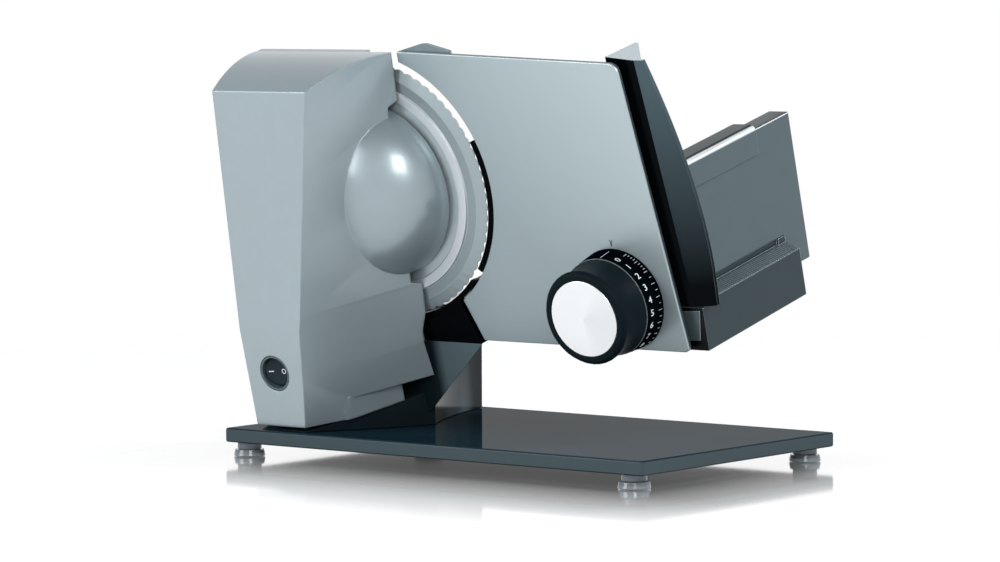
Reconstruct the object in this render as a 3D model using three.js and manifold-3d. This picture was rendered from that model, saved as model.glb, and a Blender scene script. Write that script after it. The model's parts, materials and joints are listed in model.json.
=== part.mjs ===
// Electric food slicer with a leaning blade head on a glass base.
//
// Base frame: x runs along the front edge of the glass, y goes away from the user and z is up,
// with zero at the front left corner of the glass top.
// Head frame: the origin is the blade centre, x is the carriage travel, y is the blade axis pointing
// to the food side and z is up along the blade. The head leans towards the user by HEAD_TILT.

import * as THREE from 'three';
import { mergeVertices } from 'three/addons/utils/BufferGeometryUtils.js';
import Module from 'manifold-3d';

const wasm = await Module();
wasm.setup();

// Clearances
const FIT_GAP = 0.3;
const RUN_GAP = 0.8;

// Glass base and feet
const BASE_LEFT_X = -1.2;
const BASE_LENGTH = 333.4;
const BASE_DEPTH = 208;
const BASE_THICKNESS = 9.2;
const BASE_CORNER = 2.5;
const BASE_BEVEL = 0.8;
const FOOT_HEIGHT = 9.5;
const FOOT_NECK_RADIUS = 7.8;
const FOOT_SOLE_RADIUS = 10.2;
const FOOT_SOLE_HEIGHT = 4.6;
const FOOT_LEFT_INSET = 11;
const FOOT_RIGHT_INSET = 14.7;
const FOOT_DEPTH_INSET = 12;

// Blade and the place of its centre
const BLADE_RADIUS = 85;
const BLADE_THICKNESS = 2.2;
const BLADE_FOOD_FACE = 0.4;
const RIDGE_FROM_EDGE = 14.4;
const RIDGE_WIDTH = 7.1;
const RIDGE_OUTER_RADIUS = BLADE_RADIUS - RIDGE_FROM_EDGE;
const RIDGE_INNER_RADIUS = RIDGE_OUTER_RADIUS - RIDGE_WIDTH;
const RIDGE_HEIGHT = 1.2;
const BEVEL_WIDTH = 7.5;
const BEVEL_INNER_RADIUS = BLADE_RADIUS - BEVEL_WIDTH;
const EDGE_THICKNESS = 0.5;
const TOOTH_COUNT = 72;
const TOOTH_DEPTH = 1.3;
const HEAD_TILT = THREE.MathUtils.degToRad(15);
const BLADE_CENTRE_X = 87.3;
const BLADE_CENTRE_Y = 53;
const BLADE_LIFT = 70.4;
const BLADE_CENTRE_Z = BLADE_RADIUS + BLADE_LIFT;

// Tower housing, in the head frame
const WALL = 3;
const HOUSING_BLADE_GAP = 2.4;
const HOUSING_BACK_Y = BLADE_FOOD_FACE - BLADE_THICKNESS - HOUSING_BLADE_GAP;
const FRONT_LOW_Y = -84.5;
const FRONT_TOP_Y = -64.8;
const FRONT_BEND_Z = -70;
const HOUSING_FRONT_TOP_ABOVE_BLADE = -2.7;
const FRONT_TOP_Z = BLADE_RADIUS + HOUSING_FRONT_TOP_ABOVE_BLADE;
const HOUSING_BACK_TOP_ABOVE_BLADE = 6.4;
const BACK_TOP_Z = BLADE_RADIUS + HOUSING_BACK_TOP_ABOVE_BLADE;
const TOP_ARCH_RISE = 4.3;
const UNDERCUT_BELOW_BLADE = 39.5;
const UNDERCUT_Z = -BLADE_RADIUS - UNDERCUT_BELOW_BLADE;
const LEG_HEIGHT = 13.3;
const LEG_BOTTOM_Z = UNDERCUT_Z - LEG_HEIGHT;
const LEG_FRONT_LIFT = 2.6;
const LEG_STEP_Y = -57;
const LEG_BACK_Y = -18.5;
const LEG_INSET = 8.3;
const LEFT_FRONT_X = -65.4;
const LEFT_BACK_X = -80.2;
const RIGHT_FRONT_LOW_X = -25.6;
const RIGHT_FRONT_TOP_X = 9.6;
const RIGHT_BACK_LOW_X = 19.7;
const RIGHT_BACK_TOP_X = 31.6;
const NOTCH_ABOVE_BLADE_FOOT = 4;
const NOTCH_LEAD = 13;
const NOTCH_X = 13.4;
const NOTCH_SLANT = 1.8;

// Dome over the blade hub
const DOME_RIDGE_GAP = 5.7;
const DOME_RADIUS = RIDGE_INNER_RADIUS - DOME_RIDGE_GAP;
const DOME_DEPTH = 43;
const GROOVE_FLOOR_WIDTH = 5.2;
const GROOVE_MOUTH_WIDTH = 9.1;
const GROOVE_DEPTH = 7;
const GROOVE_REACH = 8.5;

// Drive train
const SHAFT_RADIUS = 5;
const HUB_RADIUS = 20;
const HUB_THICKNESS = 1.6;
const LOCK_RADIUS = 17;
const LOCK_THICKNESS = 2;
const LOCK_SLOT_WIDTH = 2.4;
const LOCK_SLOT_DEPTH = 1.1;
const COVER_THICKNESS = 2.8;
const WHEEL_TEETH = 32;
const WHEEL_MEAN_RADIUS = 26;
const WHEEL_WIDTH = 11;
const THREAD_HEIGHT = 1.2;
const WORM_MEAN_RADIUS = 6;
const WORM_TURNS = 5;
const MESH_GAP = 0.55;
const MOTOR_RADIUS = 18;
const MOTOR_LENGTH = 68;
const MOTOR_SHAFT_RADIUS = 3;
const BEARING_RADIUS = 9.5;
const BEARING_WIDTH = 5;
const FRAME_SHEET = 4;

// Rocker switch on the tower front
const SWITCH_X = -42.7;
const SWITCH_BELOW_BLADE = 14.2;
const SWITCH_Z = -BLADE_RADIUS - SWITCH_BELOW_BLADE;
const SWITCH_RADIUS = 12;
const BEZEL_WIDTH = 1.4;
const BEZEL_DEPTH = 9;
const ROCKER_THICKNESS = 5.2;
const ROCKER_REST_TILT = THREE.MathUtils.degToRad(8);
const SWITCH_BODY_DEPTH = 15;

// Stop plate
const PLATE_FRONT_Y = -1;
const PLATE_THICKNESS = 3.6;
const PLATE_BACK_Y = PLATE_FRONT_Y + PLATE_THICKNESS;
const PLATE_BLADE_GAP = 5;
const PLATE_ARC_RADIUS = BLADE_RADIUS + PLATE_BLADE_GAP;
const PLATE_TOP_LEFT_ABOVE_BLADE = 5.6;
const PLATE_TOP_LEFT_Z = BLADE_RADIUS + PLATE_TOP_LEFT_ABOVE_BLADE;
const PLATE_TOP_LEFT_X = 33;
const PLATE_TOP_RIGHT_X = 203;
const PLATE_TOP_DROP = 6.6;
const PLATE_BOTTOM_RIGHT_X = 224.4;
const PLATE_BELOW_BLADE = 15;
const PLATE_BOTTOM_Z = -BLADE_RADIUS - PLATE_BELOW_BLADE;
const PLATE_TOP_CORNER = 7;
const PLATE_BOTTOM_CORNER = 4.5;
const PLATE_ARC_END = THREE.MathUtils.degToRad(-54.3);
const PLATE_HEEL_RUN = 12;
const STRIP_BLADE_GAP = 1;
const STRIP_START = THREE.MathUtils.degToRad(-37);
const STRIP_END = THREE.MathUtils.degToRad(22);
const STRIP_DEPTH = 2;
const TAB_THICKNESS = 1.8;
const TAB_HEIGHT = 4.3;
const TAB_FOOT_LENGTH = 40;
const TAB_CREST_LENGTH = 4;
const TAB_LAP = 5;

// Thickness knob on the stop plate
const KNOB_X = 177.7;
const KNOB_ABOVE_PLATE_BOTTOM = 32.8;
const KNOB_Z = PLATE_BOTTOM_Z + KNOB_ABOVE_PLATE_BOTTOM;
const DIAL_RADIUS = 33.1;
const DIAL_LENGTH = 15.6;
const DIAL_TAPER = 1.6;
const DIAL_WALL = 4;
const GRIP_LENGTH = 22.9;
const GRIP_WAIST_RADIUS = 28.4;
const GRIP_NOSE_RADIUS = 30.3;
const GRIP_END_WALL = 3;
const CAP_RADIUS = 24.5;
const CAP_THICKNESS = 2.2;
const CAP_CROWN = 0.9;
const STUD_RADIUS = 5;
const STUD_REACH = 30;
const KNOB_HUB_WALL = 3.5;
const PIN_RADIUS = 2.5;
const PIN_OFFSET = 17;
const PLATE_TRAVEL = 20;
const PIN_SPARE = 4;

// Fixed arm behind the plate, block under the blade, pedestal neck
const ARM_THICKNESS = 3;
const ARM_FRONT_Y = PLATE_BACK_Y + 2 * FIT_GAP;
const ARM_BACK_Y = ARM_FRONT_Y + ARM_THICKNESS;
const ARM_HEIGHT = 20;
const ARM_BOTTOM_RISE = 2.5;
const ARM_START_X = 24;
const LUG_RADIUS = 8;
const BLOCK_FRONT_Y = -3;
const BLOCK_LEFT_X = 16.5;
const BLOCK_BLADE_GAP = 4.9;
const BLOCK_PLATE_GAP = 1.6;
const BLOCK_STEP_Y = -1.4;
const BLOCK_HORN_ABOVE_BLADE_FOOT = 25.6;

// Pedestal in the base frame
const PEDESTAL_LEFT_X = 24;
const PEDESTAL_FRONT_Y = 7;
const PEDESTAL_FRONT_X = 61;
const PEDESTAL_RIDGE_X = 98;
const PEDESTAL_RIDGE_Y = 94;
const PEDESTAL_BACK_X = 54;
const PEDESTAL_BACK_Y = 199;
const PEDESTAL_FRONT_BULGE = 5;
const PEDESTAL_SIDE_HOLLOW = 10;
const COLUMN_FRONT_Y = -3;
const NECK_BACK_Y = 48;
const NECK_TOP_BACK_X = 22;
const GLAND_RADIUS = 6;
const GLAND_BORE = 3.2;
const GLAND_LENGTH = 7;
const GLAND_X = 39;
const GLAND_Z = 14;

// Blade shroud on the food side
const SHROUD_BLADE_GAP = 2;
const SHROUD_WIDTH = 4;
const SHROUD_RIGHT_X = 10;
const SHROUD_PROUD = 0.6;

// Carriage on the food side, in the head frame
const CARRIAGE_FRONT_Y = ARM_BACK_Y + RUN_GAP;
const CARRIAGE_DEPTH = 110.8;
const CARRIAGE_LEFT_X = 56;
const CARRIAGE_RIGHT_X = 233.3;
const CARRIAGE_WALL = 3;
const CARRIAGE_BELOW_PLATE = 0.9;
const CARRIAGE_BOTTOM_Z = PLATE_BOTTOM_Z - CARRIAGE_BELOW_PLATE;
const TRAY_HEIGHT = 38.6;
const TRAY_TOP_Z = CARRIAGE_BOTTOM_Z + TRAY_HEIGHT;
const TRAY_RIB_COUNT = 11;
const TRAY_RIB_HEIGHT = 0.9;
const TRAY_RIB_WIDTH = 2.2;
const LEDGE_WIDTH = 10;
const LEDGE_DROP = 8.1;
const LEDGE_RISE = 4.1;
const SLIT_DEPTH = 1.6;
const SLIT_END = 7.6;
const PUSHER_THICKNESS = 2.6;
const PUSHER_FLANGE = 14.6;
const PUSHER_LENGTH = 130.4;
const PUSHER_HEIGHT = 74.3;
const PUSHER_TAIL_DROP = 22.2;
const GUARD_THICKNESS = 2.6;
const GUARD_LEFT_X = 190;
const GUARD_TOP_RIGHT_X = 215.3;
const GUARD_TOP_FALL = 2.5;
const GUARD_BELLY_X = 241;
const GUARD_BELLY_ABOVE_FOOT = 21;
const GUARD_SWELL = 1.68;
const GUARD_CREASE_TOP_X = 210.8;
const GUARD_CREASE_FOOT_X = 227.4;
const GUARD_BAND_LEAN = 0.4;
const GUARD_TOP_ABOVE_BLADE = 1.2;
const GUARD_TOP_Z = BLADE_RADIUS + GUARD_TOP_ABOVE_BLADE;
const GUARD_RETURN = 32;
const GUARD_DROP = 10.9;
const GUARD_FOOT_Z = TRAY_TOP_Z - GUARD_DROP;
const RAIL_WIDTH = 24;
const RAIL_HEIGHT = 15;
const RAIL_NEAR_Y = 66;
const RAIL_LEFT_X = -75;
const RAIL_RIGHT_X = 165;
const SHOE_WALL = 5;
const SHOE_LEFT_X = 62;
const SHOE_RIGHT_X = 190;
const SHOE_GRIP = 11;

// Remnant holder hooked over the pusher wall
const HOLDER_THICKNESS = 2.4;
const HOLDER_NEAR_Y = 22;
const HOLDER_LENGTH = 79;
const HOLDER_LIP = 15;
const HOLDER_BRIDGE_GAP = 1.5;
const HOLDER_FOOT_GAP = 2;
const HOLDER_CORNER = 4.5;
const SPIKE_PLATE_THICKNESS = 1.4;
const SPIKE_PLATE_MARGIN = 6;
const HOLDER_SPIKE_ROWS = 4;
const HOLDER_SPIKE_COLUMNS = 5;
const HOLDER_SPIKE_RADIUS = 2;
const HOLDER_SPIKE_LENGTH = 5;

// Facets
const ROUND_SIDES = 40;
const SMALL_SIDES = 20;
const FAR = 400;

// Materials
function finish(color, roughness, metalness) {
  return new THREE.MeshStandardMaterial({ color, roughness, metalness });
}

const GREY_PAINT = finish(0x9eadb3, 0.45, 0.35);
const PLATE_ALUMINIUM = finish(0xa5b3b8, 0.4, 0.7);
const BLADE_STEEL = finish(0xc9d2d4, 0.25, 1);
const PLAIN_STEEL = finish(0x9a9fa3, 0.35, 1);
const BRASS = finish(0xb08d4c, 0.4, 1);
const GLOSS_BLACK = finish(0x0b0f11, 0.15, 0);
const MATT_BLACK = finish(0x15191b, 0.55, 0);
const DARK_GREY = finish(0x4e5b61, 0.4, 0.3);
const GLASS_BLACK = finish(0x2b3438, 0.08, 0);
const SATIN_CHROME = finish(0xe4e6e8, 0.2, 1);
const CLEAR_PLASTIC = finish(0xb9c1c4, 0.2, 0.2);

// Mesh helpers

function closed(geometry) {
  const bare = geometry.clone();
  bare.deleteAttribute('normal');
  bare.deleteAttribute('uv');
  const merged = mergeVertices(bare, 1e-4);
  const position = merged.attributes.position;
  const kept = [];
  let volume = 0;
  for (let i = 0; i < merged.index.count; i += 3) {
    const [a, b, c] = [0, 1, 2].map((k) => merged.index.getX(i + k));
    if (a === b || b === c || c === a) continue;
    kept.push(a, b, c);
    const [p, q, r] = [a, b, c].map((k) => new THREE.Vector3().fromBufferAttribute(position, k));
    volume += p.dot(q.cross(r));
  }
  if (volume < 0) kept.reverse();
  merged.setIndex(kept);
  return merged;
}

function solid(geometry) {
  const mesh = closed(geometry);
  const vertProperties = new Float32Array(mesh.attributes.position.array);
  const triVerts = new Uint32Array(mesh.index.array);
  return new wasm.Manifold(new wasm.Mesh({ numProp: 3, vertProperties, triVerts }));
}

function surface(manifold) {
  const mesh = manifold.getMesh();
  const geometry = new THREE.BufferGeometry();
  geometry.setAttribute('position', new THREE.BufferAttribute(new Float32Array(mesh.vertProperties), 3));
  geometry.setIndex(new THREE.BufferAttribute(new Uint32Array(mesh.triVerts), 1));
  geometry.computeVertexNormals();
  return geometry;
}

function union(...pieces) {
  return pieces.reduce((whole, piece) => whole.add(piece));
}

function outline(points) {
  return new THREE.Shape(points.map(([a, b]) => new THREE.Vector2(a, b)));
}

function extrude(shape, depth, curveSegments = 24) {
  return new THREE.ExtrudeGeometry(shape, { depth, bevelEnabled: false, curveSegments });
}

// Prism of an outline in (y, z), from x0 to x1
function prismX(shape, x0, x1, curveSegments) {
  const axes = new THREE.Matrix4().makeBasis(
    new THREE.Vector3(0, 1, 0),
    new THREE.Vector3(0, 0, 1),
    new THREE.Vector3(1, 0, 0),
  );
  return extrude(shape, x1 - x0, curveSegments).applyMatrix4(axes).translate(x0, 0, 0);
}

// Prism of an outline in (x, z), from y0 to y1
function prismY(shape, y0, y1, curveSegments) {
  return extrude(shape, y1 - y0, curveSegments).rotateX(Math.PI / 2).translate(0, y1, 0);
}

// Prism of an outline in (x, y), from z0 to z1
function prismZ(shape, z0, z1, curveSegments) {
  return extrude(shape, z1 - z0, curveSegments).translate(0, 0, z0);
}

function box(x0, x1, y0, y1, z0, z1) {
  const middle = [x0 + x1, y0 + y1, z0 + z1].map((sum) => sum / 2);
  return new THREE.BoxGeometry(x1 - x0, y1 - y0, z1 - z0).translate(...middle);
}

// Turned piece about the y axis from (radius, y) points
function turned(points, sides = ROUND_SIDES) {
  return new THREE.LatheGeometry(points.map(([r, y]) => new THREE.Vector2(r, y)), sides);
}

function rodY(radius, y0, y1, sides = SMALL_SIDES) {
  return new THREE.CylinderGeometry(radius, radius, y1 - y0, sides).translate(0, (y0 + y1) / 2, 0);
}

function ringY(inner, outer, y0, y1, sides = SMALL_SIDES) {
  return turned([[inner, y0], [outer, y0], [outer, y1], [inner, y1], [inner, y0]], sides);
}

// Closed skin over a stack of sections with equal point counts
function loft(sections) {
  const count = sections[0].length;
  const positions = sections.flat().flatMap((p) => p.toArray());
  const index = [];
  for (let s = 0; s + 1 < sections.length; s += 1) {
    for (let i = 0; i < count; i += 1) {
      const a = s * count + i;
      const b = s * count + ((i + 1) % count);
      index.push(a, b, b + count, a, b + count, a + count);
    }
  }
  const top = (sections.length - 1) * count;
  for (let i = 1; i + 1 < count; i += 1) {
    index.push(0, i + 1, i);
    index.push(top, top + i, top + i + 1);
  }
  const geometry = new THREE.BufferGeometry();
  geometry.setAttribute('position', new THREE.Float32BufferAttribute(positions, 3));
  geometry.setIndex(index);
  return geometry;
}

// Scene graph

const slicer = new THREE.Group();
const machine = new THREE.Group();
slicer.add(machine);

function groupAt(parent, x, y, z) {
  const group = new THREE.Group();
  group.position.set(x, y, z);
  parent.add(group);
  return group;
}

function add(parent, name, form, material) {
  const geometry = form.isBufferGeometry ? surface(solid(form)) : surface(form);
  const mesh = new THREE.Mesh(geometry, material);
  mesh.name = name;
  parent.add(mesh);
  return mesh;
}

const head = groupAt(machine, BLADE_CENTRE_X, BLADE_CENTRE_Y, BLADE_CENTRE_Z);
head.rotation.x = HEAD_TILT;
head.updateMatrix();
const inBase = (geometry) => geometry.clone().applyMatrix4(head.matrix);

// Glass base and feet

function basePlate() {
  const shape = new THREE.Shape();
  const [l, d, r] = [BASE_LENGTH, BASE_DEPTH, BASE_CORNER];
  shape.moveTo(r, 0);
  shape.lineTo(l - r, 0);
  shape.absarc(l - r, r, r, -Math.PI / 2, 0);
  shape.lineTo(l, d - r);
  shape.absarc(l - r, d - r, r, 0, Math.PI / 2);
  shape.lineTo(r, d);
  shape.absarc(r, d - r, r, Math.PI / 2, Math.PI);
  shape.lineTo(0, r);
  shape.absarc(r, r, r, Math.PI, 1.5 * Math.PI);
  const glass = new THREE.ExtrudeGeometry(shape, {
    depth: BASE_THICKNESS - 2 * BASE_BEVEL,
    bevelThickness: BASE_BEVEL,
    bevelSize: BASE_BEVEL,
    bevelOffset: -BASE_BEVEL,
    bevelSegments: 1,
    curveSegments: 4,
  });
  return glass.translate(BASE_LEFT_X, 0, BASE_BEVEL - BASE_THICKNESS);
}

function foot() {
  const neckStart = FOOT_SOLE_HEIGHT + BASE_BEVEL;
  const profile = [
    [0, 0],
    [FOOT_SOLE_RADIUS - BASE_BEVEL, 0],
    [FOOT_SOLE_RADIUS, BASE_BEVEL],
    [FOOT_SOLE_RADIUS - BASE_BEVEL, FOOT_SOLE_HEIGHT],
    [FOOT_NECK_RADIUS - BASE_BEVEL, FOOT_SOLE_HEIGHT],
    [FOOT_NECK_RADIUS, neckStart],
    [FOOT_NECK_RADIUS, FOOT_HEIGHT],
    [0, FOOT_HEIGHT],
  ];
  return turned(profile, SMALL_SIDES).rotateX(Math.PI / 2);
}

add(machine, 'base_plate', basePlate(), GLASS_BLACK);
const footZ = -BASE_THICKNESS - FOOT_HEIGHT;
const footLeftX = BASE_LEFT_X + FOOT_LEFT_INSET;
const footRightX = BASE_LEFT_X + BASE_LENGTH - FOOT_RIGHT_INSET;
const footPlaces = [
  ['front_left', footLeftX, FOOT_DEPTH_INSET],
  ['front_right', footRightX, FOOT_DEPTH_INSET],
  ['back_left', footLeftX, BASE_DEPTH - FOOT_DEPTH_INSET],
  ['back_right', footRightX, BASE_DEPTH - FOOT_DEPTH_INSET],
];
for (const [corner, x, y] of footPlaces) {
  add(groupAt(machine, x, y, footZ), `foot_${corner}`, foot(), CLEAR_PLASTIC);
}

// Pedestal: a low wedge under the tower, a column under the rail and a neck that flares to the block

const railBottomZ = CARRIAGE_BOTTOM_Z - RUN_GAP - RAIL_HEIGHT;
const neckTopZ = Math.min(PLATE_BOTTOM_Z, CARRIAGE_BOTTOM_Z) - RUN_GAP;
const blockBottomZ = neckTopZ + FIT_GAP;

function pedestal() {
  const plan = new THREE.Shape();
  plan.moveTo(PEDESTAL_LEFT_X, PEDESTAL_FRONT_Y);
  plan.lineTo(PEDESTAL_FRONT_X, PEDESTAL_FRONT_Y);
  const sideMidX = (PEDESTAL_FRONT_X + PEDESTAL_RIDGE_X) / 2 + PEDESTAL_FRONT_BULGE;
  const sideMidY = (PEDESTAL_FRONT_Y + PEDESTAL_RIDGE_Y) / 2;
  plan.quadraticCurveTo(sideMidX, sideMidY, PEDESTAL_RIDGE_X, PEDESTAL_RIDGE_Y);
  const backMidX = (PEDESTAL_BACK_X + PEDESTAL_RIDGE_X) / 2 - PEDESTAL_SIDE_HOLLOW;
  const backMidY = (PEDESTAL_BACK_Y + PEDESTAL_RIDGE_Y) / 2;
  plan.quadraticCurveTo(backMidX, backMidY, PEDESTAL_BACK_X, PEDESTAL_BACK_Y);
  plan.lineTo(PEDESTAL_LEFT_X, PEDESTAL_BACK_Y);
  const block = solid(prismZ(plan, FIT_GAP, BLADE_CENTRE_Z, 12));
  const wedge = solid(inBase(box(-FAR, FAR, -FAR, FAR, -FAR, LEG_BOTTOM_Z - FIT_GAP)));
  const column = solid(inBase(box(-FAR, FAR, COLUMN_FRONT_Y, FAR, -FAR, railBottomZ - FIT_GAP)));
  const flare = solid(inBase(loft([
    neckSection(LEG_BOTTOM_Z - LEG_HEIGHT, PEDESTAL_RIDGE_X - BLADE_CENTRE_X, LEFT_FRONT_X / 2),
    neckSection(neckTopZ, blockRightX(blockBottomZ), NECK_TOP_BACK_X),
  ])));
  return union(block.intersect(wedge), block.intersect(column), flare);
}

function neckSection(z, rightX, backX) {
  return [
    new THREE.Vector3(LEFT_FRONT_X / 2, COLUMN_FRONT_Y, z),
    new THREE.Vector3(rightX, COLUMN_FRONT_Y, z),
    new THREE.Vector3(backX, NECK_BACK_Y, z),
    new THREE.Vector3(LEFT_FRONT_X, NECK_BACK_Y, z),
  ];
}

// The heel of the plate and the block beside it share one slanted line
const heelTopX = PLATE_ARC_RADIUS * Math.cos(PLATE_ARC_END);
const heelTopZ = PLATE_ARC_RADIUS * Math.sin(PLATE_ARC_END);
const heelX = (z) => heelTopX + (PLATE_HEEL_RUN * (heelTopZ - z)) / (heelTopZ - PLATE_BOTTOM_Z);
const blockRightX = (z) => heelX(z) - BLOCK_PLATE_GAP;

add(machine, 'pedestal', pedestal(), GLOSS_BLACK);
const glandPlace = groupAt(machine, GLAND_X, PEDESTAL_BACK_Y + FIT_GAP, GLAND_Z);
add(glandPlace, 'cord_gland', ringY(GLAND_BORE, GLAND_RADIUS, 0, GLAND_LENGTH), MATT_BLACK);

// Tower housing: a profile with an arched top between two flared sides, joined to the dome and hollowed

const mix = THREE.MathUtils.lerp;

function frontY(z) {
  const t = THREE.MathUtils.clamp((z - FRONT_BEND_Z) / (FRONT_TOP_Z - FRONT_BEND_Z), 0, 1);
  return mix(FRONT_LOW_Y, FRONT_TOP_Y, t);
}

function rightX(y, z) {
  const up = (z - LEG_BOTTOM_Z) / (BACK_TOP_Z - LEG_BOTTOM_Z);
  const back = (y - frontY(z)) / (HOUSING_BACK_Y - frontY(z));
  const front = mix(RIGHT_FRONT_LOW_X, RIGHT_FRONT_TOP_X, up);
  return mix(front, mix(RIGHT_BACK_LOW_X, RIGHT_BACK_TOP_X, up), back);
}

function leftX(y) {
  return mix(LEFT_FRONT_X, LEFT_BACK_X, (y - FRONT_LOW_Y) / (HOUSING_BACK_Y - FRONT_LOW_Y));
}

// Body between the two flared sides, each moved in by its own wall
function flaredSides(leftInset, rightInset, y0, y1) {
  const [z0, z1] = [LEG_BOTTOM_Z - WALL, BACK_TOP_Z + WALL];
  const sections = [];
  const levels = 6;
  for (let i = 0; i <= levels; i += 1) {
    const z = mix(z0, z1, i / levels);
    sections.push([
      new THREE.Vector3(leftX(y0) + leftInset, y0, z),
      new THREE.Vector3(rightX(y0, z) - rightInset, y0, z),
      new THREE.Vector3(rightX(y1, z) - rightInset, y1, z),
      new THREE.Vector3(leftX(y1) + leftInset, y1, z),
    ]);
  }
  return solid(loft(sections));
}

// Side outline of the tower in (y, z), with the arch as one arc through three points
function towerOutline(inset, backY, bottomZ) {
  const start = new THREE.Vector2(FRONT_TOP_Y + inset, FRONT_TOP_Z - inset);
  const end = new THREE.Vector2(backY, BACK_TOP_Z - inset);
  const chord = end.clone().sub(start);
  const radius = chord.lengthSq() / (8 * TOP_ARCH_RISE) + TOP_ARCH_RISE / 2;
  const normal = new THREE.Vector2(chord.y, -chord.x).normalize();
  const centre = start.clone().add(end).multiplyScalar(0.5);
  centre.addScaledVector(normal, radius - TOP_ARCH_RISE);
  const from = start.clone().sub(centre).angle();
  const to = end.clone().sub(centre).angle();
  const shape = new THREE.Shape();
  shape.moveTo(FRONT_LOW_Y + inset, bottomZ + (inset ? 0 : LEG_FRONT_LIFT));
  if (!inset) {
    shape.lineTo(LEG_STEP_Y, LEG_BOTTOM_Z);
    shape.lineTo(LEG_STEP_Y, UNDERCUT_Z);
  }
  shape.lineTo(backY, inset ? bottomZ : UNDERCUT_Z);
  shape.lineTo(end.x, end.y);
  shape.absarc(centre.x, centre.y, radius, to, from, false);
  shape.lineTo(FRONT_LOW_Y + inset, FRONT_BEND_Z);
  return shape;
}

function dome(inset) {
  const sides = inset ? ROUND_SIDES / 2 : ROUND_SIDES;
  const ball = new THREE.SphereGeometry(1, sides, sides / 2).rotateX(Math.PI / 2);
  ball.scale(DOME_RADIUS - inset, DOME_DEPTH - inset, DOME_RADIUS - inset).translate(0, HOUSING_BACK_Y, 0);
  const half = solid(box(-FAR, FAR, -FAR, HOUSING_BACK_Y + inset, -FAR, FAR));
  return solid(ball).intersect(half);
}

// Solid leg that carries on below the undercut, set back from the flared side
function innerLeg() {
  const z = UNDERCUT_Z;
  const shape = outline([
    [leftX(LEG_STEP_Y), LEG_STEP_Y - WALL],
    [rightX(LEG_STEP_Y, z) - WALL, LEG_STEP_Y - WALL],
    [rightX(LEG_STEP_Y, z) - FIT_GAP, LEG_STEP_Y],
    [rightX(LEG_BACK_Y, z) - LEG_INSET, LEG_BACK_Y],
    [leftX(LEG_STEP_Y), LEG_BACK_Y],
  ]);
  return solid(prismZ(shape, LEG_BOTTOM_Z, UNDERCUT_Z + WALL / 2));
}

// Groove round the dome, where the right edge of the tower steps over the ring of the blade
function domeGroove() {
  const mouthY = HOUSING_BACK_Y + WALL;
  const floorY = HOUSING_BACK_Y - GROOVE_DEPTH;
  const floorRadius = DOME_RADIUS + GROOVE_FLOOR_WIDTH;
  const slope = (GROOVE_MOUTH_WIDTH - GROOVE_FLOOR_WIDTH) / GROOVE_DEPTH;
  const ring = turned([
    [DOME_RADIUS - WALL, floorY],
    [floorRadius, floorY],
    [floorRadius + slope * (mouthY - floorY), mouthY],
    [DOME_RADIUS - WALL, mouthY],
    [DOME_RADIUS - WALL, floorY],
  ]);
  return solid(ring).subtract(flaredSides(0, GROOVE_REACH, FRONT_LOW_Y, mouthY + WALL));
}

// Side outline of the tower as a block across the whole width
function towerBlock(inset, backY, bottomZ) {
  return solid(prismX(towerOutline(inset, backY, bottomZ), -FAR, FAR, 16));
}

// Notch in the right edge of the tower beside the block, cut square to the slanted face
function blockNotch() {
  const topZ = NOTCH_ABOVE_BLADE_FOOT - BLADE_RADIUS;
  const corners = [
    [NOTCH_X, topZ - NOTCH_LEAD],
    [NOTCH_X, blockBottomZ],
    [rightX(HOUSING_BACK_Y, UNDERCUT_Z), UNDERCUT_Z],
    [FAR, UNDERCUT_Z],
    [FAR, topZ],
    [rightX(HOUSING_BACK_Y, topZ), topZ],
  ];
  const section = (forward) => corners.map(([x, z]) => (
    new THREE.Vector3(x + NOTCH_SLANT * forward, HOUSING_BACK_Y - forward, z)
  ));
  return solid(loft([section(-WALL), section(NOTCH_LEAD)]));
}

function towerHousing() {
  const sides = flaredSides(0, 0, FRONT_LOW_Y - WALL, HOUSING_BACK_Y);
  const outer = sides.intersect(towerBlock(0, HOUSING_BACK_Y, LEG_BOTTOM_Z));
  const insideBack = HOUSING_BACK_Y + WALL;
  const room = flaredSides(WALL, GROOVE_REACH + WALL, FRONT_LOW_Y, insideBack);
  const inner = room.intersect(towerBlock(WALL, insideBack, UNDERCUT_Z + WALL));
  const switchHole = rodY(SWITCH_RADIUS, FRONT_LOW_Y - WALL, FRONT_LOW_Y + 2 * WALL, ROUND_SIDES);
  return union(outer.subtract(union(domeGroove(), blockNotch())), dome(0), innerLeg())
    .subtract(union(inner, dome(WALL)))
    .subtract(solid(switchHole.translate(SWITCH_X, 0, SWITCH_Z)));
}

add(head, 'tower_housing', towerHousing(), GREY_PAINT);

// Cover that closes the back of the housing and carries the blade bearing

const coverBackY = HOUSING_BACK_Y - RUN_GAP;
const coverFrontY = coverBackY - COVER_THICKNESS;
const rearBearingY = coverFrontY - BEARING_WIDTH;
const wheelMidY = coverFrontY - MOTOR_RADIUS - 2 * RUN_GAP;
const wheelBackY = wheelMidY + WHEEL_WIDTH / 2;
const wheelFrontY = wheelMidY - WHEEL_WIDTH / 2;
const wormTipRadius = WORM_MEAN_RADIUS + THREAD_HEIGHT;
const trainFrontY = wheelMidY - Math.max(WHEEL_WIDTH / 2, wormTipRadius);
const frontBearingY = trainFrontY - 2 * RUN_GAP - BEARING_WIDTH;
const wormX = -(WHEEL_MEAN_RADIUS + WORM_MEAN_RADIUS + MESH_GAP);
const coverInset = WALL + FIT_GAP;

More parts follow.
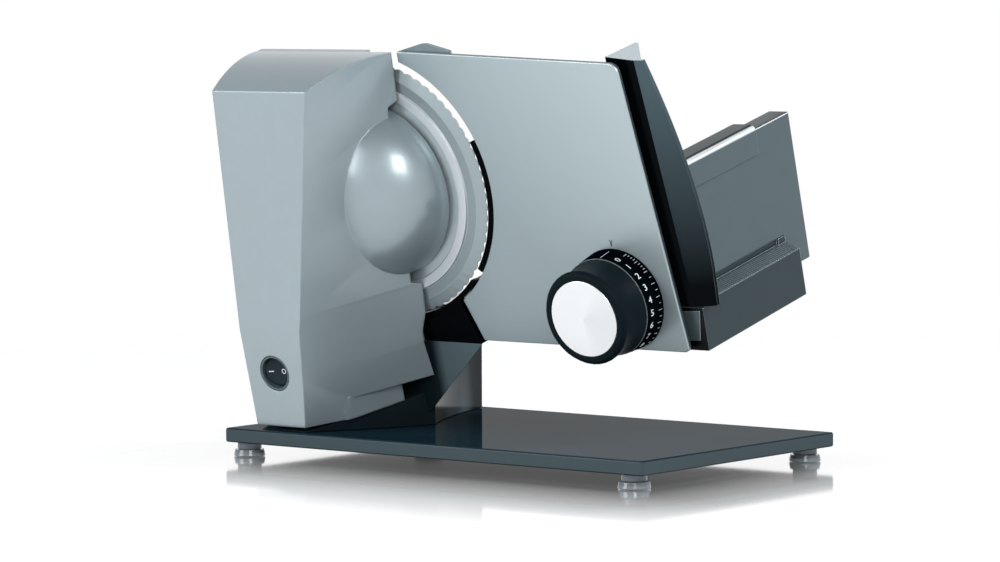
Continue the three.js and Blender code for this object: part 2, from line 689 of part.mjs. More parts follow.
function gearCover() {
  const bottom = UNDERCUT_Z + coverInset;
  const sides = flaredSides(coverInset, coverInset + GROOVE_REACH, coverFrontY, coverBackY);
  const plate = sides.intersect(towerBlock(coverInset, coverBackY, bottom));
  const slab = solid(box(-FAR, FAR, coverFrontY, coverBackY, -FAR, FAR));
  const boss = solid(rodY(BEARING_RADIUS + WALL, rearBearingY, coverFrontY + FIT_GAP));
  const bore = solid(rodY(BEARING_RADIUS + FIT_GAP, rearBearingY - 1, coverFrontY));
  const shaftHole = solid(rodY(SHAFT_RADIUS + RUN_GAP, coverFrontY - 1, coverBackY + 1));
  const disc = dome(coverInset).intersect(slab);
  return union(plate.intersect(slab), disc, boss).subtract(union(bore, shaftHole));
}

function bearing(y0) {
  return ringY(SHAFT_RADIUS + FIT_GAP / 2, BEARING_RADIUS, y0, y0 + BEARING_WIDTH);
}

// Bracket for the second blade bearing, the worm shaft and the motor
const wormHalf = (Math.PI * WHEEL_MEAN_RADIUS * WORM_TURNS) / WHEEL_TEETH;
const lugBottomZ = wormHalf + 2 * RUN_GAP;
const lugTopZ = lugBottomZ + BEARING_WIDTH;
const motorTopZ = -(WHEEL_MEAN_RADIUS + THREAD_HEIGHT + FRAME_SHEET + 3 * RUN_GAP);
const wheelTipRadius = WHEEL_MEAN_RADIUS + THREAD_HEIGHT;

function gearFrame() {
  const back = coverFrontY - FIT_GAP;
  const sheetBackY = frontBearingY + BEARING_WIDTH;
  const sheetFrontY = frontBearingY - FIT_GAP;
  const legRight = wormX - wormTipRadius - 2 * RUN_GAP;
  const legLeft = legRight - FRAME_SHEET;
  const bearingSeat = BEARING_RADIUS + WALL / 2;
  const topLeg = wheelTipRadius + 2 * RUN_GAP;
  const wheelSheet = box(legLeft, bearingSeat, sheetFrontY, sheetBackY, -bearingSeat, bearingSeat);
  const roofRight = -bearingSeat / 2;
  const topSheet = box(legLeft, roofRight, sheetFrontY, sheetBackY, 0, topLeg + FRAME_SHEET);
  const roofLeg = box(roofRight - bearingSeat, roofRight, sheetFrontY, back, topLeg, topLeg + FRAME_SHEET);
  const sideLeg = box(legLeft, legRight, sheetFrontY, back, motorTopZ + FIT_GAP, lugTopZ);
  const seatBackY = wheelMidY + BEARING_RADIUS;
  const lug = box(legLeft, wormX + BEARING_RADIUS, sheetFrontY, seatBackY, lugBottomZ, lugTopZ);
  const flangeZ = motorTopZ + FIT_GAP;
  const flangeRight = wormX + MOTOR_RADIUS;
  const flangeFrontY = wheelMidY - MOTOR_RADIUS;
  const flange = box(legLeft, flangeRight, flangeFrontY, seatBackY, flangeZ, flangeZ + FRAME_SHEET);
  const seat = rodY(BEARING_RADIUS + FIT_GAP, frontBearingY, sheetBackY + 1);
  const shaftEnd = rodY(SHAFT_RADIUS + RUN_GAP, sheetFrontY - 1, sheetBackY);
  const wormBore = rodY(MOTOR_SHAFT_RADIUS + FIT_GAP, motorTopZ, lugTopZ + 1).rotateX(Math.PI / 2);
  const body = union(...[wheelSheet, topSheet, roofLeg, sideLeg, lug, flange].map(solid));
  return body.subtract(union(solid(seat), solid(shaftEnd), solid(wormBore.translate(wormX, wheelMidY, 0))));
}

function motorBody() {
  const bottom = motorTopZ - MOTOR_LENGTH;
  const rim = FRAME_SHEET / 2;
  const bore = MOTOR_SHAFT_RADIUS + FIT_GAP;
  const profile = [
    [0, bottom],
    [MOTOR_RADIUS - rim, bottom],
    [MOTOR_RADIUS, bottom + rim],
    [MOTOR_RADIUS, motorTopZ - rim],
    [MOTOR_RADIUS - rim, motorTopZ],
    [bore, motorTopZ],
    [bore, motorTopZ - MOTOR_LENGTH / 3],
    [0, motorTopZ - MOTOR_LENGTH / 3],
  ];
  return turned(profile, SMALL_SIDES).rotateX(Math.PI / 2).translate(wormX, wheelMidY, 0);
}

add(head, 'gear_cover', gearCover(), MATT_BLACK);
add(head, 'bearing_rear', bearing(rearBearingY), PLAIN_STEEL);
add(head, 'bearing_front', bearing(frontBearingY), PLAIN_STEEL);
add(head, 'gear_frame', gearFrame(), PLAIN_STEEL);
add(head, 'motor_body', motorBody(), DARK_GREY);

// Blade with raised ring and scalloped edge, its shaft, wheel and lock

const bladeFrontY = BLADE_FOOD_FACE - BLADE_THICKNESS;

function bladeDisc() {
  const slope = RIDGE_HEIGHT / 2;
  const body = turned([
    [SHAFT_RADIUS + FIT_GAP, bladeFrontY],
    [RIDGE_INNER_RADIUS, bladeFrontY],
    [RIDGE_INNER_RADIUS + slope, bladeFrontY - RIDGE_HEIGHT],
    [RIDGE_OUTER_RADIUS - slope, bladeFrontY - RIDGE_HEIGHT],
    [RIDGE_OUTER_RADIUS, bladeFrontY],
    [BEVEL_INNER_RADIUS, bladeFrontY],
    [BEVEL_INNER_RADIUS, BLADE_FOOD_FACE],
    [SHAFT_RADIUS + FIT_GAP, BLADE_FOOD_FACE],
    [SHAFT_RADIUS + FIT_GAP, bladeFrontY],
  ], TOOTH_COUNT);
  return union(solid(body), toothedRim());
}

// Bevelled rim: each tooth is one scallop of the outer edge
function toothedRim() {
  const stepsPerTooth = 3;
  const steps = TOOTH_COUNT * stepsPerTooth;
  const sections = [];
  for (let i = 0; i < steps; i += 1) {
    const angle = (2 * Math.PI * i) / steps;
    const scallop = Math.abs(Math.sin((angle * TOOTH_COUNT) / 2));
    const tip = BLADE_RADIUS - TOOTH_DEPTH * (1 - scallop);
    const spoke = [
      [BEVEL_INNER_RADIUS - RIDGE_HEIGHT, bladeFrontY + EDGE_THICKNESS],
      [BEVEL_INNER_RADIUS, bladeFrontY],
      [tip, BLADE_FOOD_FACE - EDGE_THICKNESS],
      [tip, BLADE_FOOD_FACE],
      [BEVEL_INNER_RADIUS - RIDGE_HEIGHT, BLADE_FOOD_FACE],
    ];
    sections.push(spoke.map(([r, y]) => new THREE.Vector3(r * Math.cos(angle), y, r * Math.sin(angle))));
  }
  return solid(ringLoft(sections));
}

// Closed ring through sections that follow each other round a circle
function ringLoft(sections) {
  const count = sections[0].length;
  const positions = sections.flat().flatMap((p) => p.toArray());
  const index = [];
  sections.forEach((section, s) => {
    const next = ((s + 1) % sections.length) * count;
    for (let i = 0; i < count; i += 1) {
      const j = (i + 1) % count;
      index.push(s * count + i, s * count + j, next + j, s * count + i, next + j, next + i);
    }
  });
  const geometry = new THREE.BufferGeometry();
  geometry.setAttribute('position', new THREE.Float32BufferAttribute(positions, 3));
  geometry.setIndex(index);
  return geometry;
}

function bladeShaft() {
  const hubBack = bladeFrontY - FIT_GAP;
  const hubFront = hubBack - HUB_THICKNESS;
  return turned([
    [0, frontBearingY + FIT_GAP],
    [SHAFT_RADIUS, frontBearingY + FIT_GAP],
    [SHAFT_RADIUS, hubFront],
    [HUB_RADIUS, hubFront],
    [HUB_RADIUS, hubBack],
    [SHAFT_RADIUS, hubBack],
    [SHAFT_RADIUS, BLADE_FOOD_FACE],
    [0, BLADE_FOOD_FACE],
  ], SMALL_SIDES);
}

// Wheel and worm share one wave, so a crest of the worm always faces a trough of the wheel
function wormWheel() {
  const stepsPerTooth = 5;
  const steps = WHEEL_TEETH * stepsPerTooth;
  const points = [];
  for (let i = 0; i < steps; i += 1) {
    const angle = (2 * Math.PI * i) / steps;
    const wave = -Math.cos(WHEEL_TEETH * (angle - Math.PI));
    const r = WHEEL_MEAN_RADIUS + THREAD_HEIGHT * wave;
    points.push([r * Math.cos(angle), r * Math.sin(angle)]);
  }
  const disc = solid(prismY(outline(points), wheelFrontY, wheelBackY));
  return disc.subtract(solid(rodY(SHAFT_RADIUS + FIT_GAP, wheelFrontY - 1, wheelBackY + 1)));
}

function worm() {
  const stepsPerTurn = 8;
  const sides = 10;
  const pitch = (2 * Math.PI * WHEEL_MEAN_RADIUS) / WHEEL_TEETH;
  const sections = [];
  for (let i = 0; i <= WORM_TURNS * stepsPerTurn; i += 1) {
    const z = mix(-wormHalf, wormHalf, i / (WORM_TURNS * stepsPerTurn));
    const ring = [];
    for (let k = 0; k < sides; k += 1) {
      const angle = (2 * Math.PI * k) / sides;
      const r = WORM_MEAN_RADIUS + THREAD_HEIGHT * Math.cos((2 * Math.PI * z) / pitch - angle);
      ring.push(new THREE.Vector3(r * Math.cos(angle), r * Math.sin(angle), z));
    }
    sections.push(ring);
  }
  const bore = rodY(MOTOR_SHAFT_RADIUS + FIT_GAP, -wormHalf - 1, wormHalf + 1).rotateX(Math.PI / 2);
  return solid(loft(sections)).subtract(solid(bore));
}

function motorShaft() {
  const bottom = motorTopZ - MOTOR_LENGTH / 3 + FIT_GAP;
  return rodY(MOTOR_SHAFT_RADIUS, bottom, lugTopZ).rotateX(Math.PI / 2);
}

function bladeLock() {
  const seat = BLADE_FOOD_FACE + FIT_GAP;
  const top = seat + LOCK_THICKNESS;
  const disc = turned([
    [0, seat],
    [LOCK_RADIUS, seat],
    [LOCK_RADIUS - LOCK_THICKNESS, top],
    [0, top],
  ]);
  const half = LOCK_SLOT_WIDTH / 2;
  const slot = box(-LOCK_RADIUS, LOCK_RADIUS, top - LOCK_SLOT_DEPTH, top + 1, -half, half);
  return solid(disc).subtract(solid(slot));
}

add(head, 'blade', bladeDisc(), BLADE_STEEL);
add(head, 'blade_shaft', bladeShaft(), PLAIN_STEEL);
add(head, 'worm_wheel', wormWheel(), BRASS);
add(head, 'blade_lock', bladeLock(), SATIN_CHROME);
const wormAxis = groupAt(head, wormX, wheelMidY, 0);
add(wormAxis, 'worm', worm(), PLAIN_STEEL);
add(wormAxis, 'motor_shaft', motorShaft(), PLAIN_STEEL);

// Shroud round the covered half of the blade, flush with the blade on the food side

function bladeShroud() {
  const inner = BLADE_RADIUS + SHROUD_BLADE_GAP;
  const outer = inner + SHROUD_WIDTH;
  const front = HOUSING_BACK_Y + FIT_GAP;
  const back = BLADE_FOOD_FACE + SHROUD_PROUD;
  const ring = solid(ringY(inner, outer, front, back, TOOTH_COUNT));
  const panel = solid(box(LEFT_BACK_X, SHROUD_RIGHT_X, front, back, -outer, BACK_TOP_Z));
  const hole = solid(rodY(inner, front - 1, back + 1, TOOTH_COUNT));
  const leftHalf = solid(box(-FAR, SHROUD_RIGHT_X, -FAR, FAR, -FAR, FAR));
  return union(ring, panel.subtract(hole)).intersect(leftHalf);
}

add(head, 'blade_shroud', bladeShroud(), GREY_PAINT);

// Rocker switch in the tower front

const bezelFrontY = FRONT_LOW_Y + FIT_GAP;

function switchBezel() {
  const outer = SWITCH_RADIUS - FIT_GAP;
  return ringY(outer - BEZEL_WIDTH, outer, bezelFrontY, bezelFrontY + BEZEL_DEPTH, ROUND_SIDES);
}

function switchBody() {
  const start = bezelFrontY + BEZEL_DEPTH + FIT_GAP;
  return rodY(SWITCH_RADIUS - FIT_GAP, start, start + SWITCH_BODY_DEPTH);
}

const rockerRadius = SWITCH_RADIUS - FIT_GAP - BEZEL_WIDTH - RUN_GAP;

// Dished round button that rocks about its upright axis
function switchRocker() {
  const radius = rockerRadius;
  const disc = solid(rodY(radius, -ROCKER_THICKNESS / 2, ROCKER_THICKNESS / 2, ROUND_SIDES));
  const dishRadius = 3 * radius;
  const dish = rodY(dishRadius, -FAR, FAR, 2 * ROUND_SIDES).rotateX(Math.PI / 2);
  const dishY = -ROCKER_THICKNESS / 2 - dishRadius + radius / 6;
  return disc.subtract(solid(dish.translate(0, dishY, 0)));
}

add(groupAt(head, SWITCH_X, 0, SWITCH_Z), 'switch_bezel', switchBezel(), MATT_BLACK);
add(groupAt(head, SWITCH_X, 0, SWITCH_Z), 'switch_body', switchBody(), MATT_BLACK);
const rockerHalf = (ROCKER_THICKNESS / 2) * Math.cos(ROCKER_REST_TILT);
const rockerSwing = rockerRadius * Math.sin(ROCKER_REST_TILT);
const rockerY = bezelFrontY + BEZEL_DEPTH - rockerHalf - rockerSwing;
const rockerPivot = groupAt(head, SWITCH_X, rockerY, SWITCH_Z);
rockerPivot.rotation.z = ROCKER_REST_TILT;
add(rockerPivot, 'switch_rocker', switchRocker(), GLOSS_BLACK);

// Block under the blade and the arm behind the plate

const bladeClear = (gap) => solid(rodY(BLADE_RADIUS + gap, -FAR, FAR, TOOTH_COUNT));

// The lip in front follows the blade at a distance, the step behind it comes close to the teeth
// and rises as a horn between the blade and the plate
function supportBlock() {
  const topZ = heelTopZ + BLOCK_BLADE_GAP;
  const shape = outline([
    [BLOCK_LEFT_X, blockBottomZ],
    [blockRightX(blockBottomZ), blockBottomZ],
    [blockRightX(topZ), topZ],
    [BLOCK_LEFT_X, topZ],
  ]);
  const lip = solid(prismY(shape, BLOCK_FRONT_Y, PLATE_BACK_Y)).subtract(bladeClear(BLOCK_BLADE_GAP));
  const step = solid(prismY(shape, BLOCK_STEP_Y, PLATE_BACK_Y));
  const hornTopZ = BLOCK_HORN_ABOVE_BLADE_FOOT - BLADE_RADIUS;
  const horn = solid(box(BLOCK_LEFT_X, BLADE_RADIUS, BLOCK_STEP_Y, PLATE_BACK_Y, -BLADE_RADIUS, hornTopZ));
  const insidePlate = bladeClear(PLATE_BLADE_GAP - RUN_GAP);
  return union(lip, union(step, horn.intersect(insidePlate)).subtract(bladeClear(RUN_GAP)));
}

function supportArm() {
  const bottom = PLATE_BOTTOM_Z + ARM_BOTTOM_RISE;
  const lugTop = KNOB_Z + LUG_RADIUS;
  const pinX = KNOB_X + PIN_OFFSET;
  const bar = box(ARM_START_X, pinX + LUG_RADIUS, ARM_FRONT_Y, ARM_BACK_Y, bottom, bottom + ARM_HEIGHT);
  const lug = box(KNOB_X - LUG_RADIUS, pinX + LUG_RADIUS, ARM_FRONT_Y, ARM_BACK_Y, bottom, lugTop);
  const studHole = rodY(STUD_RADIUS + FIT_GAP, ARM_FRONT_Y - 1, ARM_BACK_Y + 1).translate(KNOB_X, 0, KNOB_Z);
  const pinHole = rodY(PIN_RADIUS + FIT_GAP, ARM_FRONT_Y - 1, ARM_BACK_Y + 1).translate(pinX, 0, KNOB_Z);
  const holes = union(solid(studHole), solid(pinHole), bladeClear(BLOCK_BLADE_GAP));
  return union(solid(bar), solid(lug)).subtract(holes);
}

const knobBackY = PLATE_FRONT_Y - FIT_GAP;
const armHoldY = ARM_BACK_Y;

add(head, 'support_block', supportBlock(), GLOSS_BLACK);
add(head, 'support_arm', supportArm(), PLAIN_STEEL);
const knobAxis = groupAt(head, KNOB_X, 0, KNOB_Z);
add(knobAxis, 'knob_stud', rodY(STUD_RADIUS, knobBackY - STUD_REACH, armHoldY), PLAIN_STEEL);
const pinTipY = PLATE_FRONT_Y - PLATE_TRAVEL - PIN_SPARE;
add(groupAt(knobAxis, PIN_OFFSET, 0, 0), 'guide_pin', rodY(PIN_RADIUS, pinTipY, armHoldY), PLAIN_STEEL);

// Stop plate with its edge strip and top tab

function plateShape() {
  const shape = new THREE.Shape();
  const rightTop = PLATE_TOP_LEFT_Z - PLATE_TOP_DROP;
  const corners = [
    [PLATE_TOP_LEFT_X, PLATE_TOP_LEFT_Z, 0],
    [PLATE_TOP_RIGHT_X, rightTop, PLATE_TOP_CORNER],
    [PLATE_BOTTOM_RIGHT_X, PLATE_BOTTOM_Z, PLATE_BOTTOM_CORNER],
    [heelX(PLATE_BOTTOM_Z), PLATE_BOTTOM_Z, 0],
    [heelTopX, heelTopZ, 0],
  ];
  corners.forEach(([x, z, r], i) => {
    const here = new THREE.Vector2(x, z);
    if (i === 0) {
      shape.moveTo(x, z);
    } else if (r === 0) {
      shape.lineTo(x, z);
    } else {
      const before = new THREE.Vector2(...corners[i - 1]).sub(here).setLength(r).add(here);
      const after = new THREE.Vector2(...corners[i + 1]).sub(here).setLength(r).add(here);
      shape.lineTo(before.x, before.y);
      shape.quadraticCurveTo(x, z, after.x, after.y);
    }
  });
  const arcTop = Math.acos(PLATE_TOP_LEFT_X / PLATE_ARC_RADIUS);
  shape.absarc(0, 0, PLATE_ARC_RADIUS, PLATE_ARC_END, arcTop, false);
  return shape;
}

function stopPlate() {
  const sheet = solid(prismY(plateShape(), PLATE_FRONT_Y, PLATE_BACK_Y, TOOTH_COUNT / 2));
  const holes = [[0, STUD_RADIUS + FIT_GAP], [PIN_OFFSET, PIN_RADIUS + FIT_GAP]];
  return holes.reduce((plate, [dx, r]) => {
    const hole = rodY(r, PLATE_FRONT_Y - 1, PLATE_BACK_Y + 1).translate(KNOB_X + dx, 0, KNOB_Z);
    return plate.subtract(solid(hole));
  }, sheet);
}

function edgeStrip() {
  const shape = new THREE.Shape();
  shape.absarc(0, 0, PLATE_ARC_RADIUS - FIT_GAP, STRIP_START, STRIP_END, false);
  shape.absarc(0, 0, BLADE_RADIUS + STRIP_BLADE_GAP, STRIP_END, STRIP_START, true);
  return prismY(shape, PLATE_FRONT_Y, PLATE_FRONT_Y + STRIP_DEPTH, SMALL_SIDES);
}

function plateTab() {
  const crestStart = (TAB_FOOT_LENGTH - TAB_CREST_LENGTH) / 2;
  const [x, z] = [PLATE_TOP_LEFT_X, PLATE_TOP_LEFT_Z];
  const shape = outline([
    [x, z - TAB_LAP],
    [x + TAB_FOOT_LENGTH, z - TAB_LAP],
    [x + TAB_FOOT_LENGTH, z - FIT_GAP],
    [x + crestStart + TAB_CREST_LENGTH, z + TAB_HEIGHT],
    [x + crestStart, z + TAB_HEIGHT],
    [x, z - FIT_GAP],
  ]);
  return prismY(shape, PLATE_BACK_Y + FIT_GAP, PLATE_BACK_Y + FIT_GAP + TAB_THICKNESS);
}

add(head, 'stop_plate', stopPlate(), PLATE_ALUMINIUM);
add(head, 'edge_strip', edgeStrip(), MATT_BLACK);
add(head, 'plate_tab', plateTab(), DARK_GREY);

// Knob: dial ring at the plate, waisted grip and a bright cap

const dialFrontY = knobBackY - DIAL_LENGTH;
const gripBackY = dialFrontY - FIT_GAP;
const gripFrontY = gripBackY - GRIP_LENGTH;

function dialRing() {
  const inner = DIAL_RADIUS - DIAL_WALL;
  return turned([
    [inner, knobBackY],
    [DIAL_RADIUS, knobBackY],
    [DIAL_RADIUS - DIAL_TAPER, dialFrontY],
    [inner, dialFrontY],
    [inner, knobBackY],
  ], 2 * SMALL_SIDES);
}

// Hollow grip: its hub runs on the stud, and its wall tapers to the waist and swells at the nose
function knobGrip() {
  const wallInner = GRIP_WAIST_RADIUS - DIAL_WALL;
  const hubInner = STUD_RADIUS + FIT_GAP;
  const hubOuter = hubInner + KNOB_HUB_WALL;
  const shoulder = DIAL_RADIUS - DIAL_TAPER - FIT_GAP;
  const nose = (GRIP_NOSE_RADIUS - CAP_RADIUS) / 2;
  const hollowY = gripFrontY + GRIP_END_WALL + CAP_THICKNESS;
  const flare = new THREE.QuadraticBezierCurve(
    new THREE.Vector2(shoulder, gripBackY),
    new THREE.Vector2(GRIP_WAIST_RADIUS, (gripBackY + gripFrontY) / 2),
    new THREE.Vector2(GRIP_NOSE_RADIUS, gripFrontY + nose),
  );
  const skin = flare.getPoints(5).map((p) => [p.x, p.y]);
  const seat = CAP_RADIUS + FIT_GAP;
  const profile = [
    [hubInner, knobBackY],
    [hubOuter, knobBackY],
    [hubOuter, hollowY],
    [wallInner, hollowY],
    [wallInner, gripBackY],
    ...skin,
    [GRIP_NOSE_RADIUS - nose / 2, gripFrontY + nose / 4],
    [GRIP_NOSE_RADIUS - nose, gripFrontY],
    [seat, gripFrontY],
    [seat, gripFrontY + CAP_THICKNESS],
    [0, gripFrontY + CAP_THICKNESS],
    [0, hollowY],
    [hubInner, hollowY],
    [hubInner, knobBackY],
  ];
  return turned(profile, 2 * SMALL_SIDES);
}

function knobCap() {
  const back = gripFrontY + CAP_THICKNESS - FIT_GAP;
  return turned([
    [0, gripFrontY - CAP_CROWN],
    [CAP_RADIUS / 2, gripFrontY - CAP_CROWN * 0.8],
    [CAP_RADIUS, gripFrontY],
    [CAP_RADIUS, back],
    [0, back],
  ], 2 * SMALL_SIDES);
}

add(knobAxis, 'dial_ring', dialRing(), MATT_BLACK);
add(knobAxis, 'knob_grip', knobGrip(), MATT_BLACK);
add(knobAxis, 'knob_cap', knobCap(), SATIN_CHROME);

// Carriage: ribbed tray, pusher wall, thumb guard and shoe on the rail

const carriageBackY = CARRIAGE_FRONT_Y + CARRIAGE_DEPTH;
const pusherRightX = CARRIAGE_RIGHT_X - LEDGE_WIDTH;
const pusherFootZ = TRAY_TOP_Z + FIT_GAP;
const pusherTopZ = pusherFootZ + PUSHER_HEIGHT;

// Free edge of the guard: it swells from the narrow top to the belly
function guardEdgeX(z) {
  const bellyZ = GUARD_FOOT_Z + GUARD_BELLY_ABOVE_FOOT;
  const rise = Math.max(z - bellyZ, 0) / (GUARD_TOP_Z - bellyZ);
  return GUARD_BELLY_X - (GUARD_BELLY_X - GUARD_TOP_RIGHT_X) * rise ** GUARD_SWELL;
}

// Crease between the flat face of the guard and the band that leans back to its free edge
function guardCreaseX(z) {
  const rise = (z - GUARD_FOOT_Z) / (GUARD_TOP_Z - GUARD_FOOT_Z);
  return mix(GUARD_CREASE_FOOT_X, GUARD_CREASE_TOP_X, rise);
}

function guardNearY(x, z) {
  return CARRIAGE_FRONT_Y + GUARD_BAND_LEAN * Math.max(x - guardCreaseX(z), 0);
}

const pusherNearY = guardNearY(pusherRightX, pusherTopZ) + GUARD_THICKNESS + FIT_GAP;
const pusherFarY = pusherNearY + PUSHER_LENGTH;

const ledgeZ = TRAY_TOP_Z - LEDGE_DROP;
const ledgeInnerX = pusherRightX + FIT_GAP;
const notchZ = GUARD_FOOT_Z - FIT_GAP;
const notchDepth = GUARD_THICKNESS + 2 * FIT_GAP;

// Step beside the pusher wall: it rises to a slit that runs in under the wall
function ledgeCut(y0, y1, innerX) {
  return solid(prismY(outline([
    [CARRIAGE_RIGHT_X + 1, TRAY_TOP_Z + 1],
    [CARRIAGE_RIGHT_X + 1, ledgeZ],
    [CARRIAGE_RIGHT_X, ledgeZ],
    [ledgeInnerX, ledgeZ + LEDGE_RISE],
    [innerX, ledgeZ + LEDGE_RISE],
    [innerX, TRAY_TOP_Z + 1],
  ]), y0, y1));
}

// Notch in the near end that takes the foot of the thumb guard
function guardNotch() {
  const near = CARRIAGE_FRONT_Y;
  const topCreaseX = guardCreaseX(TRAY_TOP_Z);
  const plan = outline([
    [GUARD_LEFT_X - FIT_GAP, near - 1],
    [GUARD_BELLY_X, near - 1],
    [GUARD_BELLY_X, guardNearY(GUARD_BELLY_X, TRAY_TOP_Z) + notchDepth],
    [topCreaseX, near + notchDepth],
    [GUARD_LEFT_X - FIT_GAP, near + notchDepth],
  ]);
  return solid(prismZ(plan, notchZ, TRAY_TOP_Z + 1));
}

function carriageTray() {
  const w = CARRIAGE_WALL;
  const [x0, x1] = [CARRIAGE_LEFT_X, CARRIAGE_RIGHT_X];
  const [y0, y1] = [CARRIAGE_FRONT_Y, carriageBackY];
  const nearWall = notchDepth + w / 2;
  const stepX = pusherRightX - SLIT_DEPTH - w;
  const outer = solid(box(x0, x1, y0, y1, CARRIAGE_BOTTOM_Z, TRAY_TOP_Z));
  const room = solid(box(x0 - 1, stepX, y0 + nearWall, y1 - w, -FAR, TRAY_TOP_Z - w));
  const sideNearY = guardNearY(x1, TRAY_TOP_Z) + nearWall;
  const sideRoom = solid(box(stepX - w, x1 - w, sideNearY, y1 - w, -FAR, ledgeZ - w));
  const slit = ledgeCut(y0 - 1, y1 - SLIT_END, pusherRightX - SLIT_DEPTH);
  const ledge = ledgeCut(y0, y1 + 1, pusherRightX);
  const ribs = [];
  const pitch = CARRIAGE_DEPTH / (TRAY_RIB_COUNT + 1);
  const ribEndX = Math.min(GUARD_LEFT_X, pusherRightX - PUSHER_FLANGE) - w;
  for (let i = 1; i <= TRAY_RIB_COUNT; i += 1) {
    const y = y0 + i * pitch;
    const [near, far] = [y - TRAY_RIB_WIDTH / 2, y + TRAY_RIB_WIDTH / 2];
    ribs.push(solid(box(x0 + w, ribEndX, near, far, TRAY_TOP_Z - w / 2, TRAY_TOP_Z + TRAY_RIB_HEIGHT)));
  }
  const shell = outer.subtract(union(room, sideRoom));
  return union(shell.subtract(union(slit, ledge, guardNotch())), ...ribs);
}

function pusherWall() {
  const right = pusherRightX;
  const left = right - PUSHER_THICKNESS;
  const tailY = carriageBackY + FIT_GAP;
  const tailZ = pusherFootZ - PUSHER_TAIL_DROP;
  const face = prismX(outline([
    [pusherNearY, pusherFootZ],
    [tailY, pusherFootZ],
    [tailY, tailZ],
    [pusherFarY, tailZ],
    [pusherFarY, pusherTopZ],
    [pusherNearY, pusherTopZ],
  ]), left, right);
  const flange = box(
    right - PUSHER_FLANGE, right, pusherNearY, pusherFarY, pusherTopZ - PUSHER_THICKNESS, pusherTopZ,
  );
  return union(solid(face), solid(flange));
}

function guardFace() {
  const levels = 14;
  const t = GUARD_THICKNESS;
  const near = CARRIAGE_FRONT_Y;
  const sections = [];
  for (let i = 0; i <= levels; i += 1) {
    const z = mix(GUARD_FOOT_Z, GUARD_TOP_Z, i / levels);
    const [crease, edge] = [guardCreaseX(z), guardEdgeX(z)];
    const edgeY = guardNearY(edge, z);
    sections.push([
      new THREE.Vector3(GUARD_LEFT_X, near, z),
      new THREE.Vector3(crease, near, z),
      new THREE.Vector3(edge, edgeY, z),
      new THREE.Vector3(edge, edgeY + t, z),
      new THREE.Vector3(crease, near + t, z),
      new THREE.Vector3(GUARD_LEFT_X, near + t, z),
    ]);
  }
  return solid(loft(sections));
}

// Everything below the top of the guard, which falls towards the free edge
function underGuardTop(lower) {
  const fall = GUARD_TOP_FALL / (GUARD_TOP_RIGHT_X - GUARD_LEFT_X);
  const at = (x) => GUARD_TOP_Z - lower - fall * (x - GUARD_LEFT_X);
  const [x0, x1] = [GUARD_LEFT_X - 1, GUARD_BELLY_X + 1];
  return solid(prismY(outline([[x0, -FAR], [x1, -FAR], [x1, at(x1)], [x0, at(x0)]]), -FAR, FAR));
}

function thumbGuard() {
  const t = GUARD_THICKNESS;
  const front = CARRIAGE_FRONT_Y;
  const back = front + GUARD_RETURN;
  const side = solid(prismX(outline([
    [front, TRAY_TOP_Z + TRAY_RIB_HEIGHT + RUN_GAP],
    [back, (TRAY_TOP_Z + GUARD_TOP_Z) / 2],
    [back, GUARD_TOP_Z],
    [front, GUARD_TOP_Z],
  ]), GUARD_LEFT_X, GUARD_LEFT_X + t));
  const roof = solid(prismZ(outline([
    [GUARD_LEFT_X, front],
    [GUARD_CREASE_TOP_X, front],
    [GUARD_TOP_RIGHT_X, guardNearY(GUARD_TOP_RIGHT_X, GUARD_TOP_Z)],
    [GUARD_LEFT_X + t, back],
    [GUARD_LEFT_X, back],
  ]), GUARD_TOP_Z - GUARD_TOP_FALL - 2 * t, GUARD_TOP_Z));
  return union(guardFace(), side, roof.subtract(underGuardTop(t))).intersect(underGuardTop(0));
}

const railFarY = RAIL_NEAR_Y + RAIL_WIDTH;
const railTopZ = railBottomZ + RAIL_HEIGHT;
const shoeTopZ = TRAY_TOP_Z - CARRIAGE_WALL - FIT_GAP;

// Channel that hangs under the tray and straddles the rail
function carriageShoe() {
  const near = RAIL_NEAR_Y - RUN_GAP;
  const far = railFarY + RUN_GAP;
  const webZ = railTopZ + FIT_GAP;
  const gripZ = railTopZ - SHOE_GRIP;
  const shape = outline([
    [near - SHOE_WALL, gripZ],
    [near, gripZ],
    [near, webZ],
    [far, webZ],
    [far, gripZ],
    [far + SHOE_WALL, gripZ],
    [far + SHOE_WALL, shoeTopZ],
    [far, shoeTopZ],
    [far, webZ + SHOE_WALL],
    [near, webZ + SHOE_WALL],
    [near, shoeTopZ],
    [near - SHOE_WALL, shoeTopZ],
  ]);
  return prismX(shape, SHOE_LEFT_X, SHOE_RIGHT_X);
}

function carriageRail() {
  return box(RAIL_LEFT_X, RAIL_RIGHT_X, RAIL_NEAR_Y, railFarY, railBottomZ, railTopZ);
}

add(head, 'carriage_rail', carriageRail(), SATIN_CHROME);
add(head, 'carriage_tray', carriageTray(), DARK_GREY);
add(head, 'pusher_wall', pusherWall(), DARK_GREY);
add(head, 'thumb_guard', thumbGuard(), GLOSS_BLACK);
add(head, 'carriage_shoe', carriageShoe(), MATT_BLACK);

// Remnant holder: a hook over the pusher wall, and a plate with short spikes towards the blade

const holderFarY = HOLDER_NEAR_Y + HOLDER_LENGTH;
const holderPlateX = pusherRightX - PUSHER_FLANGE - FIT_GAP - HOLDER_THICKNESS;
const holderFootZ = TRAY_TOP_Z + TRAY_RIB_HEIGHT + HOLDER_FOOT_GAP;

